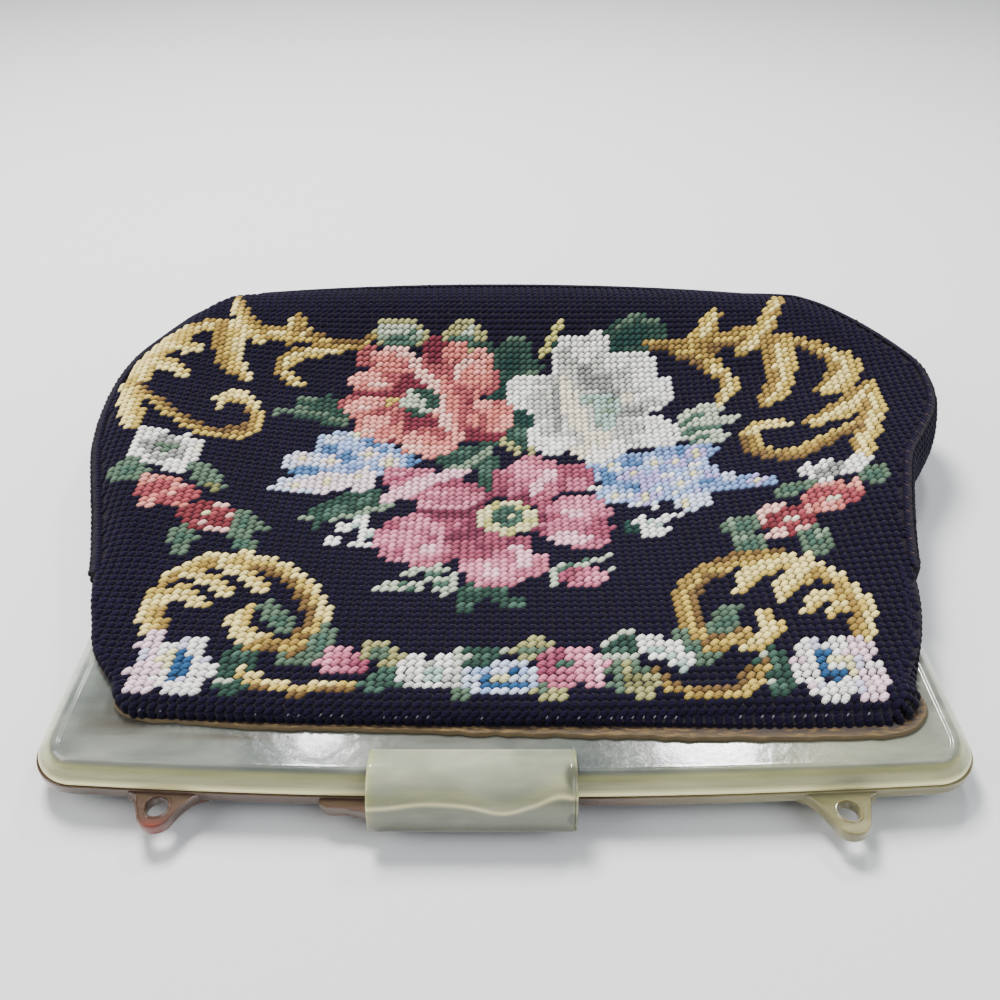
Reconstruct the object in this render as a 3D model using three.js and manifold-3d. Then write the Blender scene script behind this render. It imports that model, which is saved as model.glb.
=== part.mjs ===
// Needlepoint frame handbag, lying on its back.
// Millimetres, +Z up, +Y from the frame towards the bottom of the bag, +X across the bag.
// Heights are measured from the surface that the bag lies on. Lengths along Y are first measured
// from the middle of the frame's rim, and the whole bag is then centred on its own outline.

import * as THREE from 'three';
import { mergeVertices } from 'three/addons/utils/BufferGeometryUtils.js';
import Module from 'manifold-3d';

const wasm = await Module();
wasm.setup();

// Clearances and cloth
const GAP = 0.3; // between two pieces that touch
const CLOTH = 2.4; // needlepoint with its canvas
const EDGING_THICK = 0.7; // glued strip under the hem

// Frame: two moulded halves, each a crossbar with two arms
const FRAME_WIDTH = 234; // rim to rim, across the arms
const FRAME_BOW = 4.4; // how far the middle of the crossbar stands out past its ends
const HALF_DEPTH = 6.6; // parting plane to the face of one half
const BAR_WIDTH = 24; // rim to the inner edge
const RIM_CORNER = 12; // radius of the rim's corners
const INNER_CORNER = 8; // radius of the opening's corners
const ARM_REACH = 64; // rim to the hinge pin
const FRONT_LAND = 1.3; // height of the front half's upright rim
const BACK_LAND = 2.6; // height of the back half's upright rim
const BACK_STEP = 0.8; // how far the back half stands out past the front one
const BEVEL_WIDTH = 5.9; // rim to the face's ridge
const BEVEL_CURVE = [ // points between the two, as shares of the bevel's width and height
  { across: 0.12, up: 0.2 },
  { across: 0.52, up: 0.68 },
  { across: 0.86, up: 0.95 },
];

// Hinges at the arms' ends
const HINGE_LUG_RADIUS = 4.8;
const HINGE_LUG_WIDTH = 7;
const HINGE_PIN_RADIUS = 1.5;
const HINGE_INSET = 1.5; // rim to the outer lug
const HINGE_PIN_COVER = 1.4; // plastic over each end of the pin

// Ears that take the ends of a handle
const EAR_THICK = 3.4;
const EAR_TOP_DROP = 0.6; // parting plane to the ear's top
const EAR_TIP_RADIUS = 4.6;
const EAR_ROOT_OUTER = 8.4; // hole to the steep side's root
const EAR_ROOT_INNER = 12; // hole to the sloping side's root
const EAR_SHOULDER = 0.7; // where the steep side straightens, as a share of EAR_ROOT_OUTER
const EAR_SHOULDER_OUT = 0.3; // and how far out that is, as a share of the reach
const EAR_SLOPE = 0.62; // where the long slope bends, as a share of EAR_ROOT_INNER
const EAR_TIP_FROM = 168; // the round tip, in degrees
const EAR_TIP_TO = 38;
const EAR_HOLE_RADIUS = 2.7;
const EAR_EDGE = 0.5; // rounded edge of the ear
const EARS = [
  { side: -1, across: 83.5, reach: 10, hole: 4 },
  { side: 1, across: 82.2, reach: 12, hole: 5.2 },
];

// Clasp: a C-shaped cover that turns on a pin in the back half's lug
const COVER_LEFT = -32.8;
const COVER_LENGTH = 50;
const COVER_WALL = 1.6;
const COVER_LIP = 7.4; // rim to the cover's edge on the face
const COVER_CROWN = 0.75; // cover's inside above the face
const COVER_SHOULDER = 2.2; // rim to the highest line of the cover
const COVER_FULLNESS = 2.3; // 2 is an ellipse, more is squarer
const COVER_LIP_CURVE = 1.7; // 1 is a straight fall to the lip, more is rounder
const COVER_LOWER_ANGLE = 225; // where the wall ends under the pin, in degrees
const COVER_CUTS = { // slanted lower corners: how long, and the angle that they reach at the end
  left: { length: 4.4, angle: 183 },
  right: { length: 2, angle: 200 },
};
const WEB_THICK = 2.4;
const WEB_INSET = 9; // cover's end to the web
const WEB_ROUND = 225; // how far the web goes round the pin, in degrees
const WEB_WALL_POINTS = 6; // points of the cover's wall that the web joins
const CLASP_PIN_RADIUS = 0.6;
const CLASP_PIN_OUT = 3.2; // pin beyond the rim
const CLASP_PIN_DROP = 2.6; // pin below the parting plane
const CLASP_PIN_LEFT_INSET = 4; // cover's end to the pin's end
const CLASP_PIN_RIGHT_INSET = 4.1;
const KNUCKLE_RADIUS = 1.8;
const LUG_UNDER = 1.2; // lug's underside below the pin
const LUG_LEAD = 12.2; // visible slope of the lug, left of the cover
const LUG_STEP = 2.4; // how far the slope's first step stands out
const LUG_TUCK = 1.5; // how far the slope runs in under the cover
const LUG_SHORT = 2.6; // how far the lug ends inside the cover's right end

// Body
const HEM_INSET = 16.2; // rim to the front hem
const HEM_CORNER = 8; // radius of the hem's corners
const HEM_PUFF = 1.2; // height of the padded fold
const HEM_PUFF_WIDTH = 11;
const HEM_EDGE = 2; // width of the fold's rounded front edge
const HEM_EDGE_DROP = 0.8;
const BODY_LENGTH = 203; // hem to the far seam
const BODY_WIDTH = 284; // seam to seam at the widest, before the panel's own lean
const BODY_RISE = 24.4; // hem to the crest at the far end
const FAR_BOW = 3; // how far the far seam stands out in its middle
const FAR_CORNER_ACROSS = 16;
const FAR_CORNER_ALONG = 14;
const FAR_CORNER_TURN = 80; // how far the corner turns before the far seam, in degrees
const SAG_POWER = 2.2; // how the hollow runs up to the sides
const SEAM_CROWDING = 0.6; // 0 spaces the columns evenly, 1 crowds them most
const ROLL_WIDTH = 14; // cloth that rolls down to the seam
const LEFT_ROLL = 6;
const RIGHT_ROLL = 1.2;
const FAR_ROLL = 4;
const BACK_ROLL = 3; // back panel's edge above the surface
const LEFT_BULGE = 0.8; // gusset beyond the seams
const RIGHT_BULGE = 2.2;
const FAR_BULGE = 1.8;
const GUSSET_CLEAR = 2.4; // arm's end to the gusset, at least

// Hem to far end. along: share of BODY_LENGTH. left and right: share of half BODY_WIDTH.
// middle and side: height above the hem as a share of BODY_RISE.
const PANEL_SECTIONS = [
  { along: 0.04, left: 0.672, right: 0.708, middle: 0, side: 0 },
  { along: 0.1, left: 0.738, right: 0.762, middle: 0.02, side: 0 },
  { along: 0.16, left: 0.785, right: 0.802, middle: -0.02, side: 0 },
  { along: 0.22, left: 0.822, right: 0.828, middle: -0.07, side: 0.03 },
  { along: 0.28, left: 0.842, right: 0.84, middle: -0.12, side: 0.09 },
  { along: 0.34, left: 0.866, right: 0.856, middle: -0.18, side: 0.18 },
  { along: 0.4, left: 0.89, right: 0.876, middle: -0.22, side: 0.26 },
  { along: 0.46, left: 0.916, right: 0.9, middle: -0.25, side: 0.32 },
  { along: 0.52, left: 0.942, right: 0.93, middle: -0.245, side: 0.37 },
  { along: 0.58, left: 0.962, right: 0.984, middle: -0.217, side: 0.42 },
  { along: 0.64, left: 0.972, right: 1.032, middle: -0.15, side: 0.47 },
  { along: 0.7, left: 0.974, right: 1.05, middle: -0.08, side: 0.53 },
  { along: 0.76, left: 0.966, right: 1.046, middle: 0.045, side: 0.6 },
  { along: 0.82, left: 0.942, right: 1.016, middle: 0.23, side: 0.68 },
  { along: 0.88, left: 0.892, right: 0.955, middle: 0.55, side: 0.77 },
  { along: 0.93, left: 0.846, right: 0.888, middle: 0.81, side: 0.84 },
  { along: 1, left: 0.785, right: 0.765, middle: 1, side: 0.9 },
];

const EDGING_WIDTH = 4; // how far it shows beyond the hem
const EDGING_UNDER = 4; // how far it runs under the hem
const EDGING_ARM = 22; // how far it runs up each arm from the hem's corner
const EDGING_ARM_WIDTH = 0.6; // how far it shows at its end there

// Worked out from the sizes above
const frameHalf = FRAME_WIDTH / 2;
const partingHeight = CLOTH + GAP + HALF_DEPTH;
const faceHeight = partingHeight + HALF_DEPTH;
const hemTop = faceHeight + GAP + EDGING_THICK + GAP + CLOTH;
const bodyHalf = BODY_WIDTH / 2;
const armEnd = ARM_REACH + HINGE_LUG_RADIUS;
const pinAt = { along: -CLASP_PIN_OUT, up: partingHeight - CLASP_PIN_DROP };
const shellInner = KNUCKLE_RADIUS + GAP;
const coverRight = COVER_LEFT + COVER_LENGTH;

const CELLULOID = { color: 0xc9c9b8, roughness: 0.22, metalness: 0 };
const STEEL = { color: 0x9a9a98, roughness: 0.35, metalness: 1 };
const WOOL = { color: 0x1f1a26, roughness: 0.95, metalness: 0 };
const GLUED_PAPER = { color: 0x8a6f52, roughness: 0.85, metalness: 0 };

const radians = THREE.MathUtils.degToRad;
const lerp = THREE.MathUtils.lerp;

function smoothstep(value, low, high) {
  return THREE.MathUtils.smoothstep(value, low, high);
}

function steps(count, low, high) {
  return Array.from({ length: count + 1 }, (unused, i) => lerp(low, high, i / count));
}

// A smooth curve through one column of a table.
function column(table, name, along) {
  const last = table.length - 1;
  let i = table.findIndex((row) => row.along > along) - 1;
  if (i < 0) i = along <= table[0].along ? 0 : last - 1;
  const slope = (k) => {
    const before = table[Math.max(k - 1, 0)];
    const after = table[Math.min(k + 1, last)];
    return (after[name] - before[name]) / (after.along - before.along);
  };
  const span = table[i + 1].along - table[i].along;
  const t = THREE.MathUtils.clamp((along - table[i].along) / span, 0, 1);
  const rise = t * t * (3 - 2 * t);
  return lerp(table[i][name], table[i + 1][name], rise)
    + span * t * (1 - t) * ((1 - t) * slope(i) - t * slope(i + 1));
}

// Solids from points

function geometryOf(points, triangles) {
  const geometry = new THREE.BufferGeometry();
  geometry.setAttribute('position', new THREE.Float32BufferAttribute(points.flatMap((p) => p.toArray()), 3));
  let volume = 0;
  const cross = new THREE.Vector3();
  for (const [a, b, c] of triangles) volume += points[a].dot(cross.crossVectors(points[b], points[c]));
  geometry.setIndex(triangles.flatMap(([a, b, c]) => (volume < 0 ? [a, c, b] : [a, b, c])));
  return geometry;
}

// Closed loops of equal length, joined in order and capped at both ends.
function loft(loops, capShape) {
  const size = loops[0].length;
  const triangles = [];
  for (let i = 0; i + 1 < loops.length; i += 1) {
    for (let j = 0; j < size; j += 1) {
      const a = i * size + j;
      const b = i * size + ((j + 1) % size);
      triangles.push([a, b, b + size], [a, b + size, a + size]);
    }
  }
  const forward = THREE.ShapeUtils.area(capShape) > 0;
  const cap = THREE.ShapeUtils.triangulateShape(forward ? capShape : [...capShape].reverse(), []);
  const corner = (k) => (forward ? k : size - 1 - k);
  const end = (loops.length - 1) * size;
  for (const [a, b, c] of cap) {
    const [p, q, r] = forward ? [a, b, c].map(corner) : [c, b, a].map(corner);
    triangles.push([r, q, p], [end + p, end + q, end + r]);
  }
  return geometryOf(loops.flat(), triangles);
}

// A sheet between an upper and a lower grid of points.
function slab(upper, lower) {
  const rows = upper.length;
  const columns = upper[0].length;
  const count = rows * columns;
  const triangles = [];
  const at = (i, j) => i * columns + j;
  for (let i = 0; i + 1 < rows; i += 1) {
    for (let j = 0; j + 1 < columns; j += 1) {
      const [a, b, c, d] = [at(i, j), at(i, j + 1), at(i + 1, j + 1), at(i + 1, j)];
      triangles.push([a, b, c], [a, c, d], [count + a, count + c, count + b], [count + a, count + d, count + c]);
    }
  }
  const wall = (a, b) => triangles.push([a, count + a, count + b], [a, count + b, b]);
  for (let j = 0; j + 1 < columns; j += 1) {
    wall(at(0, j), at(0, j + 1));
    wall(at(rows - 1, j + 1), at(rows - 1, j));
  }
  for (let i = 0; i + 1 < rows; i += 1) {
    wall(at(i + 1, 0), at(i, 0));
    wall(at(i, columns - 1), at(i + 1, columns - 1));
  }
  return geometryOf([...upper.flat(), ...lower.flat()], triangles);
}

function toManifold(geometry) {
  const bare = geometry.clone();
  bare.deleteAttribute('normal');
  bare.deleteAttribute('uv');
  const merged = mergeVertices(bare, 1e-4);
  return new wasm.Manifold(new wasm.Mesh({
    numProp: 3,
    vertProperties: Float32Array.from(merged.attributes.position.array),
    triVerts: Uint32Array.from(merged.index.array),
  }));
}

function fromManifold(solid) {
  const mesh = solid.getMesh();
  const geometry = new THREE.BufferGeometry();
  geometry.setAttribute('position', new THREE.Float32BufferAttribute(mesh.vertProperties, 3));
  geometry.setIndex([...mesh.triVerts]);
  return geometry;
}

// A round bar along X.
function barAlongX(radius, low, high, along, up, sides) {
  const bar = new THREE.CylinderGeometry(radius, radius, high - low, sides);
  bar.rotateZ(Math.PI / 2);
  bar.translate((low + high) / 2, along, up);
  return bar;
}

// An outline in the Y-Z plane, extruded along X. Points are [along, up].
function plateAlongX(points, low, high) {
  const loops = [low, high].map((x) => points.map(([y, z]) => new THREE.Vector3(x, y, z)));
  return loft(loops, points.map(([y, z]) => new THREE.Vector2(y, z)));
}

// Frame

function rimAlong(x) {
  return FRAME_BOW * (x / frameHalf) ** 2;
}

// Places round the frame, from the left arm's end to the right one's. Each has a point on the rim,
// the way in from it, and a point on the inner edge.
function frameStations() {
  const cornerAlong = rimAlong(frameHalf - RIM_CORNER) + RIM_CORNER;
  const innerAlong = rimAlong(frameHalf - BAR_WIDTH) + BAR_WIDTH + INNER_CORNER;
  const left = [];
  for (const y of steps(3, ARM_REACH, innerAlong + GAP)) {
    left.push({
      rim: new THREE.Vector2(-frameHalf, y),
      inward: new THREE.Vector2(1, 0),
      inner: new THREE.Vector2(-frameHalf + BAR_WIDTH, y),
    });
  }
  for (const angle of steps(7, 180, 270)) {
    const way = new THREE.Vector2(Math.cos(radians(angle)), Math.sin(radians(angle)));
    left.push({
      rim: new THREE.Vector2(-frameHalf + RIM_CORNER, cornerAlong).addScaledVector(way, RIM_CORNER),
      inward: way.clone().negate(),
      inner: new THREE.Vector2(-frameHalf + BAR_WIDTH + INNER_CORNER, innerAlong)
        .addScaledVector(way, INNER_CORNER),
    });
  }
  const rimReach = frameHalf - RIM_CORNER;
  const innerReach = frameHalf - BAR_WIDTH - INNER_CORNER;
  const bar = steps(16, -1, 1).slice(1, -1).map((share) => ({
    rim: new THREE.Vector2(share * rimReach, rimAlong(share * rimReach)),
    inward: new THREE.Vector2(0, 1),
    inner: new THREE.Vector2(share * innerReach, rimAlong(share * innerReach) + BAR_WIDTH),
  }));
  const mirrored = [...left].reverse().map(({ rim, inward, inner }) => ({
    rim: new THREE.Vector2(-rim.x, rim.y),
    inward: new THREE.Vector2(-inward.x, inward.y),
    inner: new THREE.Vector2(-inner.x, inner.y),
  }));
  return [...left, ...bar, ...mirrored];
}

// The section of one half. inset: in from the rim, or null for the inner edge. lift: from the
// parting plane towards the half's face.
function halfSection(land, step) {
  return [
    { inset: -step, lift: GAP / 2 },
    { inset: -step, lift: land },
    ...BEVEL_CURVE.map(({ across, up }) => ({
      inset: lerp(-step, BEVEL_WIDTH, across),
      lift: lerp(land, HALF_DEPTH, up),
    })),
    { inset: BEVEL_WIDTH, lift: HALF_DEPTH },
    { inset: null, lift: HALF_DEPTH },
    { inset: null, lift: GAP / 2 },
  ];
}

function frameBar(section, direction) {
  const loops = frameStations().map(({ rim, inward, inner }) => section.map(({ inset, lift }) => {
    const plan = inset === null ? inner : rim.clone().addScaledVector(inward, inset);
    return new THREE.Vector3(plan.x, plan.y, partingHeight + direction * lift);
  }));
  const cap = section.map(({ inset, lift }) => new THREE.Vector2(inset ?? BAR_WIDTH, lift));
  return toManifold(loft(loops, cap));
}

// Bars across both arms, between two insets from the rim.
function hingeBars(radius, from, to) {
  return [-1, 1].map((side) => {
    const ends = [side * (frameHalf - from), side * (frameHalf - to)].sort((a, b) => a - b);
    return toManifold(barAlongX(radius, ends[0], ends[1], ARM_REACH, partingHeight, 20));
  });
}

const frontLug = [HINGE_INSET, HINGE_INSET + HINGE_LUG_WIDTH];
const backLug = [frontLug[1] + GAP, frontLug[1] + GAP + HINGE_LUG_WIDTH];
const pinEnds = [frontLug[0] + HINGE_PIN_COVER, backLug[1] - HINGE_PIN_COVER];

function withHinge(bar, own, other) {
  let half = bar;
  const clearOf = hingeBars(HINGE_LUG_RADIUS + GAP, other[0] - GAP, other[1] + GAP);
  for (const cut of clearOf) half = half.subtract(cut);
  for (const lug of hingeBars(HINGE_LUG_RADIUS, own[0], own[1])) half = half.add(lug);
  const holes = hingeBars(HINGE_PIN_RADIUS + GAP, pinEnds[0] - GAP, pinEnds[1] + GAP);
  for (const hole of holes) half = half.subtract(hole);
  return half;
}

function frontHalf() {
  return fromManifold(withHinge(frameBar(halfSection(FRONT_LAND, 0), 1), frontLug, backLug));
}

// Ear outline: steep on the outside, a long slope on the inside, round at the tip.
function ear({ side, across, reach, hole }) {
  const centre = reach - EAR_TIP_RADIUS;
  const root = -BACK_LAND;
  const shape = new THREE.Shape();
  shape.moveTo(-EAR_ROOT_OUTER, root);
  shape.lineTo(-EAR_ROOT_OUTER, 0);
  const shoulder = EAR_SHOULDER * EAR_ROOT_OUTER;
  shape.quadraticCurveTo(-shoulder, 0, -shoulder, EAR_SHOULDER_OUT * reach);
  const start = radians(EAR_TIP_FROM);
  shape.lineTo(EAR_TIP_RADIUS * Math.cos(start), centre + EAR_TIP_RADIUS * Math.sin(start));
  shape.absarc(0, centre, EAR_TIP_RADIUS, start, radians(EAR_TIP_TO), true);
  shape.quadraticCurveTo(EAR_SLOPE * EAR_ROOT_INNER, 0, EAR_ROOT_INNER, 0);
  shape.lineTo(EAR_ROOT_INNER, root);
  shape.closePath();
  const bore = new THREE.Path();
  bore.absarc(0, hole, EAR_HOLE_RADIUS, 0, 2 * Math.PI, false);
  shape.holes.push(bore);
  const solid = new THREE.ExtrudeGeometry(shape, {
    depth: EAR_THICK - 2 * EAR_EDGE,
    bevelThickness: EAR_EDGE,
    bevelSize: EAR_EDGE,
    bevelOffset: -EAR_EDGE,
    bevelSegments: 2,
    curveSegments: 7,
  });
  solid.translate(0, 0, -EAR_TOP_DROP - EAR_THICK + EAR_EDGE);
  solid.scale(-side, -1, 1);
  solid.translate(side * across, rimAlong(across), partingHeight);
  return side > 0 ? solid : flipped(solid);
}

// Turns the faces of a mirrored solid out again.
function flipped(geometry) {
  const position = geometry.attributes.position.array;
  for (let i = 0; i < position.length; i += 9) {
    for (let k = 0; k < 3; k += 1) {
      [position[i + 3 + k], position[i + 6 + k]] = [position[i + 6 + k], position[i + 3 + k]];
    }
  }
  return geometry;
}

// Lug of the clasp: an S-shaped slope at the left, then a straight edge with a round knuckle.
function claspLug() {
  const left = COVER_LEFT - LUG_LEAD;
  const third = left + LUG_LEAD / 3;
  const under = COVER_LEFT + LUG_TUCK;
  const right = coverRight - LUG_SHORT;
  const shape = new THREE.Shape();
  shape.moveTo(left, BACK_LAND);
  shape.lineTo(left, 0);
  shape.quadraticCurveTo(left, -LUG_STEP, third, -LUG_STEP);
  shape.bezierCurveTo(third + LUG_LEAD / 3, -LUG_STEP, third + LUG_LEAD / 3, -CLASP_PIN_OUT,
    under, -CLASP_PIN_OUT - KNUCKLE_RADIUS / 2);
  shape.lineTo(under, -CLASP_PIN_OUT);
  shape.lineTo(right, -CLASP_PIN_OUT);
  shape.lineTo(right, BACK_LAND);
  shape.closePath();
  const plate = new THREE.ExtrudeGeometry(shape, {
    depth: LUG_UNDER + KNUCKLE_RADIUS,
    bevelEnabled: false,
    curveSegments: 6,
  });
  plate.translate(0, 0, pinAt.up - LUG_UNDER);
  const knuckle = barAlongX(KNUCKLE_RADIUS, under, right, pinAt.along, pinAt.up, 14);
  return toManifold(plate).add(toManifold(knuckle));
}

const webPlaces = [COVER_LEFT + WEB_INSET, coverRight - WEB_INSET - WEB_THICK];
const claspPinEnds = [COVER_LEFT + CLASP_PIN_LEFT_INSET, coverRight - CLASP_PIN_RIGHT_INSET];

function claspHole() {
  const low = claspPinEnds[0] - GAP;
  return toManifold(barAlongX(CLASP_PIN_RADIUS + GAP, low, coverRight, pinAt.along, pinAt.up, 12));
}

function backHalf() {
  let half = frameBar(halfSection(BACK_LAND, BACK_STEP), -1);
  for (const row of EARS) half = half.add(toManifold(ear(row)));
  let lug = claspLug();
  const depth = CLASP_PIN_OUT + 2 * KNUCKLE_RADIUS;
  for (const x of webPlaces) {
    const slot = new THREE.BoxGeometry(WEB_THICK + 2 * GAP, depth, 4 * KNUCKLE_RADIUS);
    slot.translate(x + WEB_THICK / 2, -BACK_STEP - depth / 2, pinAt.up);
    lug = lug.subtract(toManifold(slot));
  }
  half = half.add(lug).subtract(claspHole());
  return fromManifold(withHinge(half, backLug, frontLug));
}

function hingePin(side) {
  const ends = pinEnds.map((inset) => side * (frameHalf - inset)).sort((a, b) => a - b);
  return barAlongX(HINGE_PIN_RADIUS, ends[0], ends[1], ARM_REACH, partingHeight, 16);
}

// Clasp cover

// The inside of the cover's wall, from its lower edge round to the lip on the face.
function coverInside(lowerAngle) {
  const points = steps(3, lowerAngle, 180).map((angle) => new THREE.Vector2(
    pinAt.along + shellInner * Math.cos(radians(angle)),
    pinAt.up + shellInner * Math.sin(radians(angle)),
  ));
  const across = COVER_SHOULDER + CLASP_PIN_OUT + shellInner;
  const crest = faceHeight + GAP + COVER_CROWN;
  for (const angle of steps(6, 0, 90).slice(1)) {
    const round = (value) => Math.abs(value) ** (2 / COVER_FULLNESS);
    points.push(new THREE.Vector2(
      COVER_SHOULDER - across * round(Math.cos(radians(angle))),
      pinAt.up + (crest - pinAt.up) * round(Math.sin(radians(angle))),
    ));
  }
  for (const share of steps(3, 0, 1).slice(1)) {
    points.push(new THREE.Vector2(
      lerp(COVER_SHOULDER, COVER_LIP, share),
      crest - COVER_CROWN * share ** COVER_LIP_CURVE,
    ));
  }
  return points;
}

function offsetLine(points, distance) {
  return points.map((point, i) => {
    const before = points[Math.max(i - 1, 0)];
    const after = points[Math.min(i + 1, points.length - 1)];
    const way = after.clone().sub(before).normalize();
    return new THREE.Vector2(point.x - way.y * distance, point.y + way.x * distance);
  });
}

function coverLoop(x, lowerAngle) {
  const inside = coverInside(lowerAngle);
  const outside = offsetLine(inside, COVER_WALL);
  return [...inside, ...outside.reverse()].map((point) => new THREE.Vector3(x, point.x, point.y));
}

function claspCover() {
  const loops = [
    coverLoop(COVER_LEFT, COVER_CUTS.left.angle),
    coverLoop(COVER_LEFT + COVER_CUTS.left.length, COVER_LOWER_ANGLE),
    coverLoop(coverRight - COVER_CUTS.right.length, COVER_LOWER_ANGLE),
    coverLoop(coverRight, COVER_CUTS.right.angle),
  ];
  let cover = toManifold(loft(loops, loops[0].map((point) => new THREE.Vector2(point.y, point.z))));
  const round = steps(8, COVER_LOWER_ANGLE, COVER_LOWER_ANGLE + WEB_ROUND).map((angle) => [
    pinAt.along + KNUCKLE_RADIUS * Math.cos(radians(angle)),
    pinAt.up + KNUCKLE_RADIUS * Math.sin(radians(angle)),
  ]);
  const wall = offsetLine(coverInside(COVER_LOWER_ANGLE), COVER_WALL / 2);
  const outer = wall.slice(0, WEB_WALL_POINTS).reverse().map((point) => [point.x, point.y]);
  for (const x of webPlaces) {
    cover = cover.add(toManifold(plateAlongX([...round, ...outer], x, x + WEB_THICK)));
  }
  return fromManifold(cover.subtract(claspHole()));
}

function claspPin() {
  const [low, high] = claspPinEnds;
  return barAlongX(CLASP_PIN_RADIUS, low, high, pinAt.along, pinAt.up, 12);
}

// Body

// Rows of the body's outline, from the hem to the far end.
function bodyRows() {
  const rows = [];
  const row = (along, leftCut, rightCut) => ({
    share: along,
    y: HEM_INSET + along * BODY_LENGTH,
    left: -bodyHalf * column(PANEL_SECTIONS, 'left', along) + leftCut,
    right: bodyHalf * column(PANEL_SECTIONS, 'right', along) - rightCut,
  });
  for (const angle of steps(3, 0, 90).slice(0, -1)) {
    const cut = HEM_CORNER * (1 - Math.sin(radians(angle)));
    const along = (HEM_CORNER * (1 - Math.cos(radians(angle)))) / BODY_LENGTH;
    rows.push(row(along, cut, cut));
  }
  const straight = 1 - FAR_CORNER_ALONG / BODY_LENGTH;
  for (const share of steps(15, HEM_CORNER / BODY_LENGTH, straight)) rows.push(row(share, 0, 0));
  for (const angle of steps(5, 0, FAR_CORNER_TURN).slice(1)) {
    const cut = FAR_CORNER_ACROSS * (1 - Math.cos(radians(angle)));
    const along = straight + (1 - straight) * Math.sin(radians(angle));
    rows.push(row(along, cut, cut));
  }
  return rows;
}

const bodyOutline = bodyRows();

// Where a point of a row lies. s runs from -1 at the left seam to 1 at the right one.
function planPoint({ share, y, left, right }, s) {
  const x = lerp(left, right, (s + 1) / 2);
  const hemBow = rimAlong(x) * (1 - share) ** 2;
  const farBow = FAR_BOW * s * s * share ** 4;
  return new THREE.Vector2(x, y + hemBow - farBow);
}

function rollAt(plan, row, s) {
  const fall = (distance) => Math.max(0, 1 - distance / ROLL_WIDTH) ** 2;
  const starts = smoothstep(plan.y, armEnd - ROLL_WIDTH, armEnd + 2 * ROLL_WIDTH);
  const farEdge = HEM_INSET + BODY_LENGTH - FAR_BOW * s * s;
  return {
    left: starts * fall(plan.x - row.left),
    right: starts * fall(row.right - plan.x),
    far: fall(farEdge - plan.y),
  };
}

function frontHeight(row, s) {
  const plan = planPoint(row, s);
  const middle = column(PANEL_SECTIONS, 'middle', row.share);
  const side = column(PANEL_SECTIONS, 'side', row.share);
  const roll = rollAt(plan, row, s);
  const drop = Math.max(LEFT_ROLL * roll.left, RIGHT_ROLL * roll.right, FAR_ROLL * roll.far);
  return hemTop + BODY_RISE * lerp(middle, side, Math.abs(s) ** SAG_POWER) - drop;
}

function backHeight(row, s) {
  const roll = rollAt(planPoint(row, s), row, s);
  return BACK_ROLL * Math.max(roll.left, roll.right, roll.far);
}

function hemPuff(row) {
  const inside = row.share * BODY_LENGTH;
  if (inside > HEM_PUFF_WIDTH) return 0;
  const edge = HEM_EDGE_DROP * Math.max(0, 1 - inside / HEM_EDGE);
  return HEM_PUFF * Math.sin((Math.PI * inside) / HEM_PUFF_WIDTH) - edge;
}

// Columns lie closer together towards the seams.
function columnsAcross(count) {
  return steps(count, -1, 1).map((u) => lerp(u, Math.sin((u * Math.PI) / 2), SEAM_CROWDING));
}

function panelGrid(count, heightOf) {
  return bodyOutline.map((row) => columnsAcross(count).map((s) => {
    const plan = planPoint(row, s);
    return new THREE.Vector3(plan.x, plan.y, heightOf(row, s));
  }));
}

function frontPanel() {
  return slab(
    panelGrid(24, (row, s) => frontHeight(row, s) + hemPuff(row)),
    panelGrid(24, (row, s) => frontHeight(row, s) - CLOTH),
  );
}

function backPanel() {
  return slab(
    panelGrid(14, (row, s) => backHeight(row, s) + CLOTH),
    panelGrid(14, backHeight),
  );
}

// Places round the seams, from the left arm's end round the far end to the right arm's end.
function seamStations() {
  const sides = bodyOutline.filter((row) => row.y > armEnd + GUSSET_CLEAR);
  const station = (row, s, bulge) => ({
    plan: planPoint(row, s),
    top: frontHeight(row, s),
    bottom: backHeight(row, s),
    bulge: bulge * smoothstep(row.y, armEnd, armEnd + 2 * ROLL_WIDTH),
  });
  const last = sides[sides.length - 1];
  const sideBulge = (bulge, share) => lerp(bulge, FAR_BULGE, share ** 8);
  const left = sides.map((row) => station(row, -1, sideBulge(LEFT_BULGE, row.share)));
  const far = columnsAcross(18).slice(1, -1).map((s) => station(last, s, FAR_BULGE));
  const right = sides.map((row) => station(row, 1, sideBulge(RIGHT_BULGE, row.share)));
  return [...left, ...far, ...right.reverse()];
}

function gusset() {
  const stations = seamStations();
  const heights = steps(6, 0, 1);
  const loops = stations.map(({ plan, top, bottom, bulge }, i) => {
    const before = stations[Math.max(i - 1, 0)].plan;
    const after = stations[Math.min(i + 1, stations.length - 1)].plan;
    const along = after.clone().sub(before).normalize();
    const out = new THREE.Vector2(-along.y, along.x);
    const at = (share, extra) => {
      const place = plan.clone().addScaledVector(out, GAP + extra + bulge * Math.sin(Math.PI * share));
      return new THREE.Vector3(place.x, place.y, lerp(bottom, top, share));
    };
    const outside = heights.map((share) => at(share, CLOTH));
    const inside = [...heights].reverse().map((share) => at(share, 0));
    return [...outside, ...inside];
  });
  const cap = loops[0].map((point) => new THREE.Vector2(point.x, point.z));
  return loft(loops, cap);
}

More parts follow.
